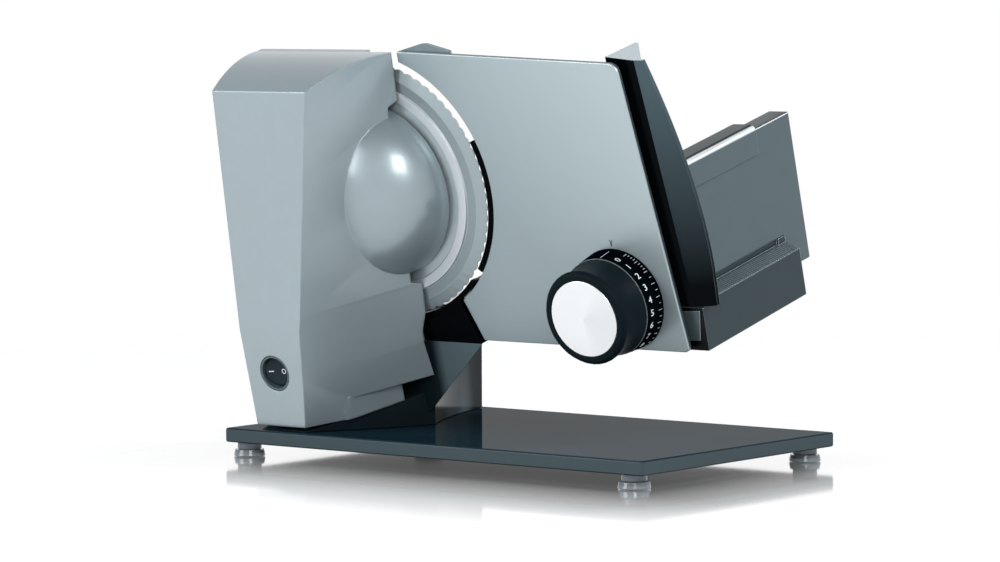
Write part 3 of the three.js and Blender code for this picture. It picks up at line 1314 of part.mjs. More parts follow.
function remnantHolder() {
  const t = HOLDER_THICKNESS;
  const r = HOLDER_CORNER;
  const lipLeft = pusherRightX + FIT_GAP;
  const lipRight = lipLeft + t;
  const lipZ = pusherTopZ - HOLDER_LIP;
  const bridgeZ = pusherTopZ + HOLDER_BRIDGE_GAP;
  const topZ = bridgeZ + t;
  const hook = new THREE.Shape();
  hook.moveTo(lipLeft, lipZ);
  hook.lineTo(lipRight, lipZ);
  hook.absarc(lipRight - r, topZ - r, r, 0, Math.PI / 2);
  hook.absarc(holderPlateX + r, topZ - r, r, Math.PI / 2, Math.PI);
  hook.lineTo(holderPlateX, holderFootZ);
  hook.lineTo(holderPlateX + t, holderFootZ);
  hook.lineTo(holderPlateX + t, bridgeZ);
  hook.lineTo(lipLeft, bridgeZ);
  const body = solid(prismY(hook, HOLDER_NEAR_Y, holderFarY, 6));
  const restTop = bridgeZ + t / 2;
  const rest = box(
    holderPlateX + t / 2, lipLeft + t / 2, HOLDER_NEAR_Y, HOLDER_NEAR_Y + t, pusherTopZ + FIT_GAP, restTop,
  );
  return union(body, solid(rest));
}

function spikePlate() {
  const right = holderPlateX - FIT_GAP;
  const left = right - SPIKE_PLATE_THICKNESS;
  const m = SPIKE_PLATE_MARGIN;
  const [y0, y1] = [HOLDER_NEAR_Y + m, holderFarY - m];
  const [z0, z1] = [holderFootZ + m, pusherTopZ - m];
  const length = HOLDER_SPIKE_LENGTH + SPIKE_PLATE_THICKNESS / 2;
  const spikes = [];
  for (let row = 0; row < HOLDER_SPIKE_ROWS; row += 1) {
    for (let column = 0; column < HOLDER_SPIKE_COLUMNS; column += 1) {
      const spike = new THREE.ConeGeometry(HOLDER_SPIKE_RADIUS, length, 6).rotateZ(Math.PI / 2);
      const y = mix(y0, y1, (column + 0.5) / HOLDER_SPIKE_COLUMNS);
      const z = mix(z0, z1, (row + 0.5) / HOLDER_SPIKE_ROWS);
      spikes.push(solid(spike.translate(left - HOLDER_SPIKE_LENGTH + length / 2, y, z)));
    }
  }
  return union(solid(box(left, right, y0, y1, z0, z1)), ...spikes);
}

add(head, 'remnant_holder', remnantHolder(), DARK_GREY);
add(head, 'spike_plate', spikePlate(), PLAIN_STEEL);

// The origin is the middle of the footprint, on the surface that the slicer stands on
slicer.updateMatrixWorld(true);
const extent = new THREE.Box3().setFromObject(slicer, true);
const middle = extent.getCenter(new THREE.Vector3());
machine.position.set(-middle.x, -middle.y, -extent.min.z);
slicer.updateMatrixWorld(true);

export default slicer;
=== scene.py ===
import json
import math

import bmesh
import bpy
from mathutils import Matrix, Vector
from mathutils.bvhtree import BVHTree


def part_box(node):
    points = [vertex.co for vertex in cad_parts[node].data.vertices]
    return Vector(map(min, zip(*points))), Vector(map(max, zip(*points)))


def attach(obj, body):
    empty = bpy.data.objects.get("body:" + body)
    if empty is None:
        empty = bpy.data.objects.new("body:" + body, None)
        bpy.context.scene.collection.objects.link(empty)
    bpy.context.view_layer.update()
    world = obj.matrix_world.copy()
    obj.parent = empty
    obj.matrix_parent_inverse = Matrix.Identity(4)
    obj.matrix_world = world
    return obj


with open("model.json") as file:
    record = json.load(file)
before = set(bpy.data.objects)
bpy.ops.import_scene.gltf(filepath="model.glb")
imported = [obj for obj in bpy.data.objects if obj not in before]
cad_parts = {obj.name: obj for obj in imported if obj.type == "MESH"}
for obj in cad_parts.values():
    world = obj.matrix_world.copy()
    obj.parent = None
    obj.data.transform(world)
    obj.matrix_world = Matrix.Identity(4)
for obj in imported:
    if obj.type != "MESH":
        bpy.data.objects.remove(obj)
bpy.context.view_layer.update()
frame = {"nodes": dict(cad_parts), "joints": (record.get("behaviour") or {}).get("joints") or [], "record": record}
nodes = frame["nodes"]
joints = {j["name"]: j for j in frame["joints"]}
MM = 0.001

# Frames: base at the front left corner of the glass top, head at the blade centre
BLADE_PLACE = Vector((87.3, 53, 155.4))
TILT = math.radians(15)
HEAD = Matrix.Translation(joints["blade_spin"]["pos_m"]) @ Matrix.Rotation(TILT, 4, "X")
BASE = HEAD.translation - BLADE_PLACE * MM


def on_head(x, y, z):
    """Place in the scene of a head-frame point in millimetres."""
    return HEAD @ (Vector((x, y, z)) * MM)


def in_head(point):
    """Head-frame millimetres of a place in the scene."""
    return (HEAD.inverted() @ Vector(point)) / MM


def mm(*lengths):
    """Metres from millimetres."""
    return [length * MM for length in lengths]


# Camera at the photograph's place
CAMERA_PLACE = (1811.3, -2035.0, 281.7)
CAMERA_YAW = math.radians(37.939)
CAMERA_PITCH = math.radians(3.943)
CAMERA_ROLL = math.radians(-0.211)
CAMERA_LENS = 152.33
CAMERA_SENSOR = 36
CAMERA_REACH = 50

ahead = Vector((
    -math.sin(CAMERA_YAW) * math.cos(CAMERA_PITCH),
    math.cos(CAMERA_YAW) * math.cos(CAMERA_PITCH),
    -math.sin(CAMERA_PITCH),
))
side = ahead.cross(Vector((0, 0, 1))).normalized()
over = side.cross(ahead)
right = side * math.cos(CAMERA_ROLL) + over * math.sin(CAMERA_ROLL)
up = over * math.cos(CAMERA_ROLL) - side * math.sin(CAMERA_ROLL)
camera_data = bpy.data.cameras.new("camera")
camera_data.lens = CAMERA_LENS
camera_data.sensor_width = CAMERA_SENSOR
camera_data.clip_end = CAMERA_REACH
camera = bpy.data.objects.new("camera", camera_data)
bpy.context.scene.collection.objects.link(camera)
turn = Matrix((right, up, -ahead)).transposed().to_4x4()
camera.matrix_world = Matrix.Translation(BASE + Vector(CAMERA_PLACE) * MM) @ turn
bpy.context.scene.camera = camera


# Material helpers

EDGE_WIDTH = 0.4
EDGE_SAMPLES = 8
EDGE_TURN = (0.86, 0.97)
LOWEST_ROUGHNESS = 0.02
GRAIN_DETAIL = 2.0
LINE_DETAIL = 4.0


def srgb(r, g, b):
    def linear(v):
        v /= 255
        return v / 12.92 if v <= 0.04045 else ((v + 0.055) / 1.055) ** 2.4
    return linear(r), linear(g), linear(b), 1


def shade(color, factor):
    return tuple(min(1, v * factor) for v in color[:3]) + (1,)


class Surface:
    """A principled material with a noise-driven tone, roughness and grain."""

    def __init__(self, name, color, roughness, metallic=0.0, edge=EDGE_WIDTH):
        self.material = bpy.data.materials.new(name)
        self.material.use_nodes = True
        self.tree = self.material.node_tree
        self.bsdf = self.tree.nodes["Principled BSDF"]
        self.bsdf.inputs["Base Color"].default_value = color
        self.bsdf.inputs["Roughness"].default_value = roughness
        self.bsdf.inputs["Metallic"].default_value = metallic
        self.color = color
        self.roughness = roughness
        self.coords = self.node("ShaderNodeTexCoord").outputs["Object"]
        self.edge = self.node("ShaderNodeBevel", samples=EDGE_SAMPLES)
        self.edge.inputs["Radius"].default_value = edge * MM
        self.link(self.edge.outputs["Normal"], self.bsdf.inputs["Normal"])

    def node(self, kind, **settings):
        made = self.tree.nodes.new(kind)
        for key, value in settings.items():
            setattr(made, key, value)
        return made

    def link(self, source, target):
        self.tree.links.new(source, target)

    def set(self, **inputs):
        for key, value in inputs.items():
            self.bsdf.inputs[key.replace("_", " ")].default_value = value
        return self

    def noise(self, scale, detail=3.0, vector=None):
        made = self.node("ShaderNodeTexNoise")
        made.inputs["Scale"].default_value = scale
        made.inputs["Detail"].default_value = detail
        self.link(vector or self.coords, made.inputs["Vector"])
        return made.outputs["Fac"]

    def spread(self, source, low, high, start=0.3, end=0.7):
        """Maps start to low and end to high. A noise lies mostly between the defaults."""
        made = self.node("ShaderNodeMapRange")
        made.inputs["From Min"].default_value = start
        made.inputs["From Max"].default_value = end
        made.inputs["To Min"].default_value = low
        made.inputs["To Max"].default_value = high
        self.link(source, made.inputs["Value"])
        return made.outputs["Result"]

    def math(self, operation, a, b=None):
        made = self.node("ShaderNodeMath", operation=operation)
        for slot, value in zip(made.inputs, (a, b)):
            if value is None:
                continue
            if isinstance(value, (int, float)):
                slot.default_value = value
            else:
                self.link(value, slot)
        return made.outputs[0]

    def mix(self, factor, a, b):
        made = self.node("ShaderNodeMix", data_type="RGBA")
        self.link(factor, made.inputs["Factor"])
        for socket, value in ((made.inputs[6], a), (made.inputs[7], b)):
            if isinstance(value, tuple):
                socket.default_value = value
            else:
                self.link(value, socket)
        return made.outputs[2]

    def tone(self, depth, scale=0, source=None):
        """Varies the colour by a noise of this scale or by a given pattern."""
        pattern = source or self.noise(scale)
        dark, light = shade(self.color, 1 - depth), shade(self.color, 1 + depth)
        self.link(self.mix(self.spread(pattern, 0, 1), dark, light), self.bsdf.inputs["Base Color"])
        return self

    def paint(self, mask, color):
        """Lays another colour over the base colour where the mask is 1."""
        socket = self.bsdf.inputs["Base Color"]
        self.link(self.mix(mask, socket.links[0].from_socket, color), socket)
        return self

    def wear(self, depth, scale=0, source=None):
        """Varies the roughness in broad patches or by a given pattern."""
        pattern = source or self.noise(scale, 0)
        low, high = max(LOWEST_ROUGHNESS, self.roughness - depth), min(1, self.roughness + depth)
        self.link(self.spread(pattern, low, high), self.bsdf.inputs["Roughness"])
        return self

    def grain(self, height, scale=0, source=None):
        """Raises a fine relief, its height in millimetres."""
        bump = self.node("ShaderNodeBump")
        bump.inputs["Strength"].default_value = 1
        bump.inputs["Distance"].default_value = height * MM
        self.link(source or self.noise(scale, GRAIN_DETAIL), bump.inputs["Height"])
        self.link(self.edge.outputs["Normal"], bump.inputs["Normal"])
        self.link(bump.outputs["Normal"], self.bsdf.inputs["Normal"])
        return self

    def head_axes(self):
        """Coordinates in the head frame, in metres."""
        mapping = self.node("ShaderNodeMapping", vector_type="TEXTURE")
        mapping.inputs["Location"].default_value = HEAD.translation
        mapping.inputs["Rotation"].default_value = (TILT, 0, 0)
        self.link(self.coords, mapping.inputs["Vector"])
        split = self.node("ShaderNodeSeparateXYZ")
        self.link(mapping.outputs["Vector"], split.inputs["Vector"])
        return split.outputs

    def flat_normal(self, axis):
        """Part of the flat face normal along a scene axis (0 is x, 2 is z)."""
        split = self.node("ShaderNodeSeparateXYZ")
        self.link(self.node("ShaderNodeNewGeometry").outputs["True Normal"], split.inputs[0])
        return split.outputs[axis]

    def facing(self, axis, start, end):
        """1 on faces that look along an axis more steeply than the end value."""
        return self.spread(self.flat_normal(axis), 0, 1, start, end)

    def polish_edges(self, color):
        """Lays a colour along the edges as a painted highlight, where the rounded normal leaves the flat one."""
        dot = self.node("ShaderNodeVectorMath", operation="DOT_PRODUCT")
        self.link(self.edge.outputs["Normal"], dot.inputs[0])
        self.link(self.node("ShaderNodeNewGeometry").outputs["True Normal"], dot.inputs[1])
        return self.paint(self.spread(dot.outputs["Value"], 1, 0, *EDGE_TURN), color)

    def round_angle(self, centre):
        """Angle about an axis through a head-frame point, along the head's y."""
        x, _, z = self.head_axes()
        rise = self.math("SUBTRACT", z, centre.z * MM)
        return self.math("ARCTAN2", rise, self.math("SUBTRACT", x, centre.x * MM))

    def band(self, value, start, end, soft):
        """1 where the value lies between start and end, with soft borders."""
        rise = self.spread(value, 0, 1, start - soft, start + soft)
        return self.math("MULTIPLY", rise, self.spread(value, 1, 0, end - soft, end + soft))

    def radius(self):
        """Distance from the blade axis, in metres."""
        x, _, z = self.head_axes()
        squares = [self.math("MULTIPLY", part, part) for part in (x, z)]
        return self.math("SQRT", self.math("ADD", *squares))

    def rings(self, scale):
        """Fine turning lines about the blade axis."""
        made = self.node("ShaderNodeTexNoise", noise_dimensions="1D")
        made.inputs["Scale"].default_value = scale
        made.inputs["Detail"].default_value = LINE_DETAIL
        self.link(self.radius(), made.inputs["W"])
        return made.outputs["Fac"]

    def brushed(self, stretch, scale):
        """Noise drawn out along x, as on rolled or brushed sheet."""
        mapping = self.node("ShaderNodeMapping")
        mapping.inputs["Scale"].default_value = (1 / stretch, 1, 1)
        self.link(self.coords, mapping.inputs["Vector"])
        return self.noise(scale, LINE_DETAIL, mapping.outputs["Vector"])


def plain(name, color, roughness, metallic=0.0, edge=EDGE_WIDTH, *, tone, wear, grain, **sockets):
    """A surface of one colour. Tone, wear and grain are each a depth and a noise scale."""
    made = Surface(name, color, roughness, metallic, edge)
    return made.tone(*tone).wear(*wear).grain(*grain).set(**sockets)


# Materials: places are head-frame millimetres, and a band's third value is its soft border

# Stop plate: brushed sheet, painted lighter towards its upper right as a painted sheen, with a darker rim behind

SHEET_THICKNESS = 1.1
SHEET_BLEND = 0.1
PLATE_PAINTED_SHEEN = (80, 270)
plate_front = min(in_head(v.co).y for v in nodes["stop_plate"].data.vertices)


def make_plate_metal():
    made = Surface("plate_metal", srgb(144, 158, 163), 0.34, 0.45)
    made.tone(0.01, source=made.brushed(14, 500)).wear(0.02, 12).grain(0.0006, 300)
    x, y, z = made.head_axes()
    # Painted sheen: the plate is painted lighter towards its upper right, where the light falls
    made.paint(made.spread(made.math("ADD", x, z), 0, 1, *mm(*PLATE_PAINTED_SHEEN)), srgb(172, 186, 190))
    sheet_back = plate_front + SHEET_THICKNESS
    rim = made.spread(y, 0, 1, *mm(sheet_back, sheet_back + SHEET_BLEND))
    return made.paint(rim, srgb(70, 80, 85))


# Blade: turned steel with its raised ring painted lighter as a painted highlight, a darker band outside it and the
# ground edge

RAISED_RING_HIGHLIGHT = (63.6, 70.4, 0.2)
OUTER_BAND = (70.8, 77.4, 0.3)
GROUND_EDGE = (77.4, 90, 0.3)


def make_blade_steel():
    made = Surface("blade_steel", srgb(188, 200, 205), 0.34, 0.5)
    lines = made.rings(1500)
    made.tone(0.03, source=lines).wear(0.04, source=lines).grain(0.001, source=lines)
    radius = made.radius()
    # Painted highlight: the raised ring is painted lighter, as where it catches the light
    made.paint(made.band(radius, *mm(*RAISED_RING_HIGHLIGHT)), srgb(204, 211, 215))
    made.paint(made.band(radius, *mm(*OUTER_BAND)), srgb(138, 150, 154))
    return made.paint(made.band(radius, *mm(*GROUND_EDGE)), srgb(150, 163, 168))


# Pedestal: black moulding, its neck's overhanging facets and its column's right side painted lighter as painted
# reflections

NECK_LIT_LEAN = (-0.3, -0.2, 0.02)
NECK_LIT_LEFT = (22, 30)
COLUMN_LIT_FACE = (0.5, 0.7)
COLUMN_LIT_DEPTH = (36, 81, 9)


def make_neck_black():
    made = plain("neck_black", srgb(24, 35, 40), 0.16, edge=0.7,
                 tone=(0.08, 60), wear=(0.03, 45), grain=(0.0008, 300), Specular_IOR_Level=0.03)
    x, y, _ = made.head_axes()
    # Painted reflection: the neck's leaning facets right of its left edge are painted lighter
    leaning = made.band(made.flat_normal(2), *NECK_LIT_LEAN)
    lit_neck = made.math("MULTIPLY", leaning, made.spread(x, 0, 1, *mm(*NECK_LIT_LEFT)))
    made.paint(lit_neck, srgb(84, 99, 105))
    # Painted reflection: the column's right side is painted lighter
    lit_column = made.math("MULTIPLY", made.facing(0, *COLUMN_LIT_FACE), made.band(y, *mm(*COLUMN_LIT_DEPTH)))
    return made.paint(lit_column, srgb(86, 101, 107))


# Thumb guard: black, its leaning band painted lighter towards the top and its roof painted pale, both as painted
# reflections, with painted highlights along its edges

GUARD_SHEEN_BAND_FACE = (0.1, 0.3)
GUARD_SHEEN_BAND_HEIGHT = (-60, 70)
GUARD_ROOF_SHEEN_FACE = (0.75, 0.85)


def make_guard_black():
    made = plain("guard_black", srgb(3, 6, 9), 0.2, edge=0.7,
                 tone=(0.1, 200), wear=(0.03, 40), grain=(0.001, 400), Specular_IOR_Level=0.03)
    # Painted reflection: the leaning band is painted lighter towards the top
    height = made.spread(made.head_axes()[2], 0, 1, *mm(*GUARD_SHEEN_BAND_HEIGHT))
    made.paint(made.math("MULTIPLY", made.facing(0, *GUARD_SHEEN_BAND_FACE), height), srgb(74, 90, 97))
    # Painted highlight along the edges
    made.polish_edges(srgb(96, 110, 116))
    # Painted reflection: the roof, which looks up, is painted pale
    return made.paint(made.facing(2, *GUARD_ROOF_SHEEN_FACE), srgb(188, 199, 204))


# Pusher wall and holder: satin grey, with tops painted dark as painted shade and upper edges painted bright as
# painted highlights

TOP_SHADE_FACE = (0.7, 0.85)
UPPER_EDGE_HIGHLIGHT = (0.2, 0.8, 0.05)


def make_dark_grey():
    made = plain("dark_grey", srgb(84, 98, 104), 0.3, 0.4, 0.8,
                 tone=(0.02, 60), wear=(0.02, 12), grain=(0.0006, 300), Specular_IOR_Level=0.2)
    # Painted shade: faces that look up are painted darker
    made.paint(made.facing(2, *TOP_SHADE_FACE), srgb(40, 54, 60))
    # Painted highlight: the rounded upper edges are painted bright
    made.paint(made.band(made.flat_normal(2), *UPPER_EDGE_HIGHLIGHT), srgb(232, 238, 240))
    # Painted highlight along all edges
    return made.polish_edges(srgb(150, 162, 168))


# Tray: darker grey with edges painted light as painted highlights and its near end painted black as painted shade

NEAR_END_SHADE_BLEND = 0.3
tray_near = min(in_head(v.co).y for v in nodes["carriage_tray"].data.vertices)


def make_tray_grey():
    made = plain("tray_grey", srgb(42, 56, 62), 0.34, 0.2, 0.8,
                 tone=(0.03, 60), wear=(0.02, 12), grain=(0.0006, 300), Specular_IOR_Level=0.2)
    # Painted highlight along the edges
    made.polish_edges(srgb(165, 178, 183))
    # Painted shade: the near end is painted black, as the shaded recess around its grey panel
    shaded_near_end = made.spread(made.head_axes()[1], 1, 0, *mm(tray_near, tray_near + NEAR_END_SHADE_BLEND))
    return made.paint(shaded_near_end, srgb(2, 5, 8))


# Knob cap: bright metal with one sector painted darker as painted shade

CAP_SHADE_ANGLE = math.radians(-15)
CAP_SHADE_RANGE = (0.2, 1.0)
knob_centre = in_head(joints["knob_turn"]["pos_m"])


def make_cap_metal():
    made = plain("cap_metal", srgb(226, 228, 231), 0.26, 0.85,
                 tone=(0.01, 60), wear=(0.02, 12), grain=(0.0001, 200))
    turned = made.math("SUBTRACT", made.round_angle(knob_centre), CAP_SHADE_ANGLE)
    # Painted shade: one sector of the cap is painted darker
    painted_shade_sector = made.spread(made.math("COSINE", turned), 0, 1, *CAP_SHADE_RANGE)
    return made.paint(painted_shade_sector, srgb(214, 217, 220))


# Base: dark glass with paler side faces and a black line along their foot

GLASS_TOP_EDGE = (0.9, 0.7)
GLASS_FOOT_LINE = (0.6, 0.9)


def make_base_glass():
    made = plain("base_glass", srgb(25, 45, 55), 0.05,
                 tone=(0.1, 30), wear=(0.02, 14), grain=(0.0004, 60),
                 Specular_IOR_Level=0.0, Coat_Weight=0.17, Coat_Roughness=0.03)
    split = made.node("ShaderNodeSeparateXYZ")
    made.link(made.coords, split.inputs[0])
    height = split.outputs[2]
    base_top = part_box("base_plate")[1].z
    sides = made.spread(height, 1, 0, *[base_top - drop for drop in mm(*GLASS_TOP_EDGE)])
    made.paint(sides, srgb(62, 75, 80))
    base_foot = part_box("base_plate")[0].z
    foot_line = made.spread(height, 1, 0, *[base_foot + rise for rise in mm(*GLASS_FOOT_LINE)])
    return made.paint(foot_line, srgb(6, 10, 13))


# Metals and plastics of one colour

grey_paint = plain(
    "grey_paint", srgb(150, 164, 170), 0.3, 0.35, 1.2,
    tone=(0.012, 140), wear=(0.02, 12), grain=(0.0006, 300), Coat_Weight=0.5, Coat_Roughness=0.12)
plain_steel = Surface("plain_steel", srgb(160, 163, 166), 0.34, 1.0)
plain_steel.tone(0.04, source=plain_steel.brushed(8, 500)).wear(0.06, 150).grain(0.001, 400)
bright_metal = Surface("bright_metal", srgb(226, 228, 231), 0.24, 0.9)
bright_metal.tone(0.015, source=bright_metal.brushed(10, 300)).wear(0.02, 30).grain(0.0001, 200)
brass = plain(
    "brass", srgb(181, 146, 82), 0.36, 1.0,
    tone=(0.06, 300), wear=(0.08, 160), grain=(0.004, 700))
matt_black = plain(
    "matt_black", srgb(16, 20, 23), 0.5,
    tone=(0.12, 700), wear=(0.07, 120), grain=(0.01, 2400), Specular_IOR_Level=0.25)
block_black = plain(
    "block_black", srgb(2, 3, 6), 0.3,
    tone=(0.15, 90), wear=(0.05, 70), grain=(0.001, 500), Specular_IOR_Level=0.02)
rocker_black = plain(
    "rocker_black", srgb(30, 43, 48), 0.3,
    tone=(0.08, 200), wear=(0.03, 40), grain=(0.001, 300), Specular_IOR_Level=0.1)
bezel_grey = plain(
    "bezel_grey", srgb(66, 82, 88), 0.4,
    tone=(0.06, 200), wear=(0.03, 40), grain=(0.001, 300))
knob_black = plain(
    "knob_black", srgb(13, 24, 29), 0.45,
    tone=(0.08, 200), wear=(0.03, 40), grain=(0.001, 400), Specular_IOR_Level=0.03)
dial_black = plain(
    "dial_black", srgb(3, 8, 13), 0.5,
    tone=(0.08, 200), wear=(0.03, 40), grain=(0.001, 400), Specular_IOR_Level=0.0)
# Grey of the painted highlight ring between the grip and the dial
highlight_grey = plain(
    "highlight_grey", srgb(96, 106, 111), 0.4,
    tone=(0.08, 300), wear=(0.05, 100), grain=(0.001, 400))
# Also used on the plate tab, where this grey, darker than the plate, is painted shade
rib_and_shaded_tab_grey = plain(
    "rib_and_shaded_tab_grey", srgb(128, 142, 148), 0.3, 0.4, 0.2,
    tone=(0.04, 60), wear=(0.03, 12), grain=(0.0006, 300))
clear_plastic = plain(
    "clear_plastic", srgb(110, 120, 126), 0.12,
    tone=(0.04, 120), wear=(0.04, 90), grain=(0.001, 300), Transmission_Weight=0.35, IOR=1.45)
white_ink = plain(
    "white_ink", srgb(236, 238, 238), 0.5,
    tone=(0.05, 900), wear=(0.08, 300), grain=(0.003, 1500))
dark_ink = plain(
    "dark_ink", srgb(70, 80, 84), 0.5,
    tone=(0.08, 900), wear=(0.08, 300), grain=(0.003, 1500))
dark_grey = make_dark_grey()

by_slot = {
    "grey_paint": grey_paint,
    "dark_grey": dark_grey,
    "matt_black": matt_black,
    "plate_aluminium": make_plate_metal(),
    "blade_steel": make_blade_steel(),
    "plain_steel": plain_steel,
    "brass": brass,
    "bright_metal": bright_metal,
    "clear_plastic": clear_plastic,
    "base_glass": make_base_glass(),
}
by_node = {
    "dial_ring": dial_black,
    "knob_grip": knob_black,
    "support_block": block_black,
    "edge_strip": block_black,
    "thumb_guard": make_guard_black(),
    "carriage_tray": make_tray_grey(),
    "pedestal": make_neck_black(),
    "knob_cap": make_cap_metal(),
    "switch_rocker": rocker_black,
    "switch_bezel": bezel_grey,
    # Painted shade: the tab takes a darker grey than the plate, as if shaded
    "plate_tab": rib_and_shaded_tab_grey,
}


# Finish of the carried-over parts: material, smooth shading and a small edge radius

EDGE_RADIUS = {
    "base_plate": 0.5,
    "stop_plate": 0.6,
    "pusher_wall": 0.9,
    "remnant_holder": 0.8,
    "knob_grip": 0.4,
    "dial_ring": 0.4,
    "knob_cap": 0.5,
    "switch_rocker": 0.5,
}
EDGE_STEPS = 2
SMOOTH_BELOW = math.radians(32)
WELD_REACH = 0.01
FLAT_FACE_WEIGHT = 80


def soften(obj, radius):
    for polygon in obj.data.polygons:
        polygon.use_smooth = True
    weld = obj.modifiers.new("weld", "WELD")
    weld.merge_threshold = WELD_REACH * MM
    if radius:
        bevel = obj.modifiers.new("edge", "BEVEL")
        bevel.width = radius * MM
        bevel.segments = EDGE_STEPS
        bevel.limit_method = "ANGLE"
        bevel.angle_limit = SMOOTH_BELOW
        bevel.use_clamp_overlap = False
        normals = obj.modifiers.new("normals", "WEIGHTED_NORMAL")
        normals.keep_sharp = True
        normals.weight = FLAT_FACE_WEIGHT
    else:
        split = obj.modifiers.new("split", "EDGE_SPLIT")
        split.split_angle = SMOOTH_BELOW


slots = {s["node"]: s["material_slot"] for s in frame["record"]["subparts"]}
for name, obj in nodes.items():
    surface = by_node.get(name) or by_slot[slots[name]]
    obj.data.materials.clear()
    obj.data.materials.append(surface.material)
    soften(obj, EDGE_RADIUS.get(name))


# Helpers for the small pieces

def piece(name, mesh, surface, body):
    mesh.materials.append(surface.material)
    obj = bpy.data.objects.new(name, mesh)
    bpy.context.scene.collection.objects.link(obj)
    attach(obj, body)


def as_mesh(bm, name):
    mesh = bpy.data.meshes.new(name)
    bm.to_mesh(mesh)
    bm.free()
    return mesh


def closed_mesh(bm, name):
    """Mesh whose faces all look outwards."""
    bmesh.ops.recalc_face_normals(bm, faces=bm.faces)
    return as_mesh(bm, name)


def prism(bm, front, back):
    """Closed solid between two outlines with as many corners each."""
    bm.faces.new(front)
    bm.faces.new(list(reversed(back)))
    for i in range(len(front)):
        j = (i + 1) % len(front)
        bm.faces.new((front[j], front[i], back[i], back[j]))


def slab(bm, x0, x1, y0, y1, z0, z1):
    corners = [bm.verts.new((x, y, z)) for z in (z0, z1) for y in (y0, y1) for x in (x0, x1)]
    for face in ((0, 2, 3, 1), (4, 5, 7, 6), (0, 1, 5, 4), (2, 6, 7, 3), (0, 4, 6, 2), (1, 3, 7, 5)):
        bm.faces.new([corners[i] for i in face])


def text_mesh(body, size, depth):
    """Closed mesh of a short text, centred, lying in the xy plane, in millimetres."""
    curve = bpy.data.curves.new("text", "FONT")
    curve.body = body
    curve.size = size
    curve.extrude = depth / 2
    curve.align_x = "CENTER"
    curve.align_y = "CENTER"
    curve.resolution_u = 3
    holder = bpy.data.objects.new("text", curve)
    bpy.context.scene.collection.objects.link(holder)
    bpy.context.view_layer.update()
    mesh = bpy.data.meshes.new_from_object(holder.evaluated_get(bpy.context.evaluated_depsgraph_get()))
    bpy.data.objects.remove(holder)
    bpy.data.curves.remove(curve)
    return mesh


# Dial: numbers and ticks wrapped on the ring, placed from its front or back

FIRST_NUMBER = math.radians(68)
NUMBER_STEP = math.radians(15)
LAST_NUMBER = 20
NUMBER_SIZE = 6.2
NUMBER_FROM_FRONT = 4.7
TICK_FROM_BACK = 2.2
LONG_TICK = 3.0
SHORT_TICK = 1.7
TICK_HALF = 0.17
FINE_STEPS = 2
FINE_PARTS = 4
COARSE_PARTS = 2
START_LINE = math.radians(88)
START_LINE_FROM_BACK = 4.6
START_LINE_LENGTH = 9.4
START_LINE_HALF = 0.2
INK = 0.08
FRONT_RIM = 0.1


def from_knob_axis(point):
    return math.hypot(point.x - knob_centre.x, point.z - knob_centre.z)


dial_corners = [in_head(v.co) for v in nodes["dial_ring"].data.vertices]
dial_back = max(p.y for p in dial_corners)
dial_front = min(p.y for p in dial_corners)
dial_radius = max(from_knob_axis(p) for p in dial_corners)
front_radius = max(from_knob_axis(p) for p in dial_corners if p.y < dial_front + FRONT_RIM)
dial_taper = dial_radius - front_radius


def wrap(bm, along, angle):
    """Lays a flat patch (x towards the plate, y round the dial) on the ring."""
    for vert in bm.verts:
        taper = (dial_back - (along + vert.co.x)) / (dial_back - dial_front) * dial_taper
        radius = dial_radius - taper + vert.co.z
        turn_to = angle + vert.co.y / dial_radius
        vert.co = on_head(
            knob_centre.x + radius * math.cos(turn_to),
            along + vert.co.x,
            knob_centre.z + radius * math.sin(turn_to),
        )


def dial_marks():
    whole = bmesh.new()

    def take(patch, along, angle):
        wrap(patch, along, angle)
        mesh = as_mesh(patch, "patch")
        whole.from_mesh(mesh)
        bpy.data.meshes.remove(mesh)

    def line(angle, along, length, half):
        patch = bmesh.new()
        slab(patch, -length, 0, -half, half, -INK, INK)
        take(patch, along, angle)

    def tick(angle, length):
        line(angle, dial_back - TICK_FROM_BACK, length, TICK_HALF)

    for number in range(LAST_NUMBER + 1):
        angle = FIRST_NUMBER - number * NUMBER_STEP
        patch = bmesh.new()
        mesh = text_mesh(str(number), NUMBER_SIZE, 2 * INK)
        patch.from_mesh(mesh)
        bpy.data.meshes.remove(mesh)
        take(patch, dial_front + NUMBER_FROM_FRONT, angle)
        tick(angle, LONG_TICK)
        if number < LAST_NUMBER:
            parts = FINE_PARTS if number < FINE_STEPS else COARSE_PARTS
            for part in range(1, parts):
                tick(angle - NUMBER_STEP * part / parts, SHORT_TICK)
    line(START_LINE, dial_back - START_LINE_FROM_BACK, START_LINE_LENGTH, START_LINE_HALF)
    return as_mesh(whole, "dial_marks")


piece("dial_marks", dial_marks(), white_ink, "knob")


# Painted highlight: a light grey ring between the grip and the dial stands in for the light caught along their
# edge

EDGE_HIGHLIGHT_INSIDE = (1.2, 0.1)
EDGE_HIGHLIGHT_STAND = 0.12
EDGE_HIGHLIGHT_SINK = 0.3
EDGE_HIGHLIGHT_STEPS = 96


def ring_mesh(name, centre, profile, steps):
    """Closed ring about the head's y axis from a profile of (radius, y) corners."""
    bm = bmesh.new()
    loops = []
    for i in range(steps):
        angle = 2 * math.pi * i / steps
        across, rise = math.cos(angle), math.sin(angle)
        loops.append([
            bm.verts.new(on_head(centre.x + r * across, y, centre.z + r * rise)) for r, y in profile])
    for a, b in zip(loops, loops[1:] + loops[:1]):
        for j in range(len(profile)):
            k = (j + 1) % len(profile)
            bm.faces.new((a[j], a[k], b[k], b[j]))
    return closed_mesh(bm, name)


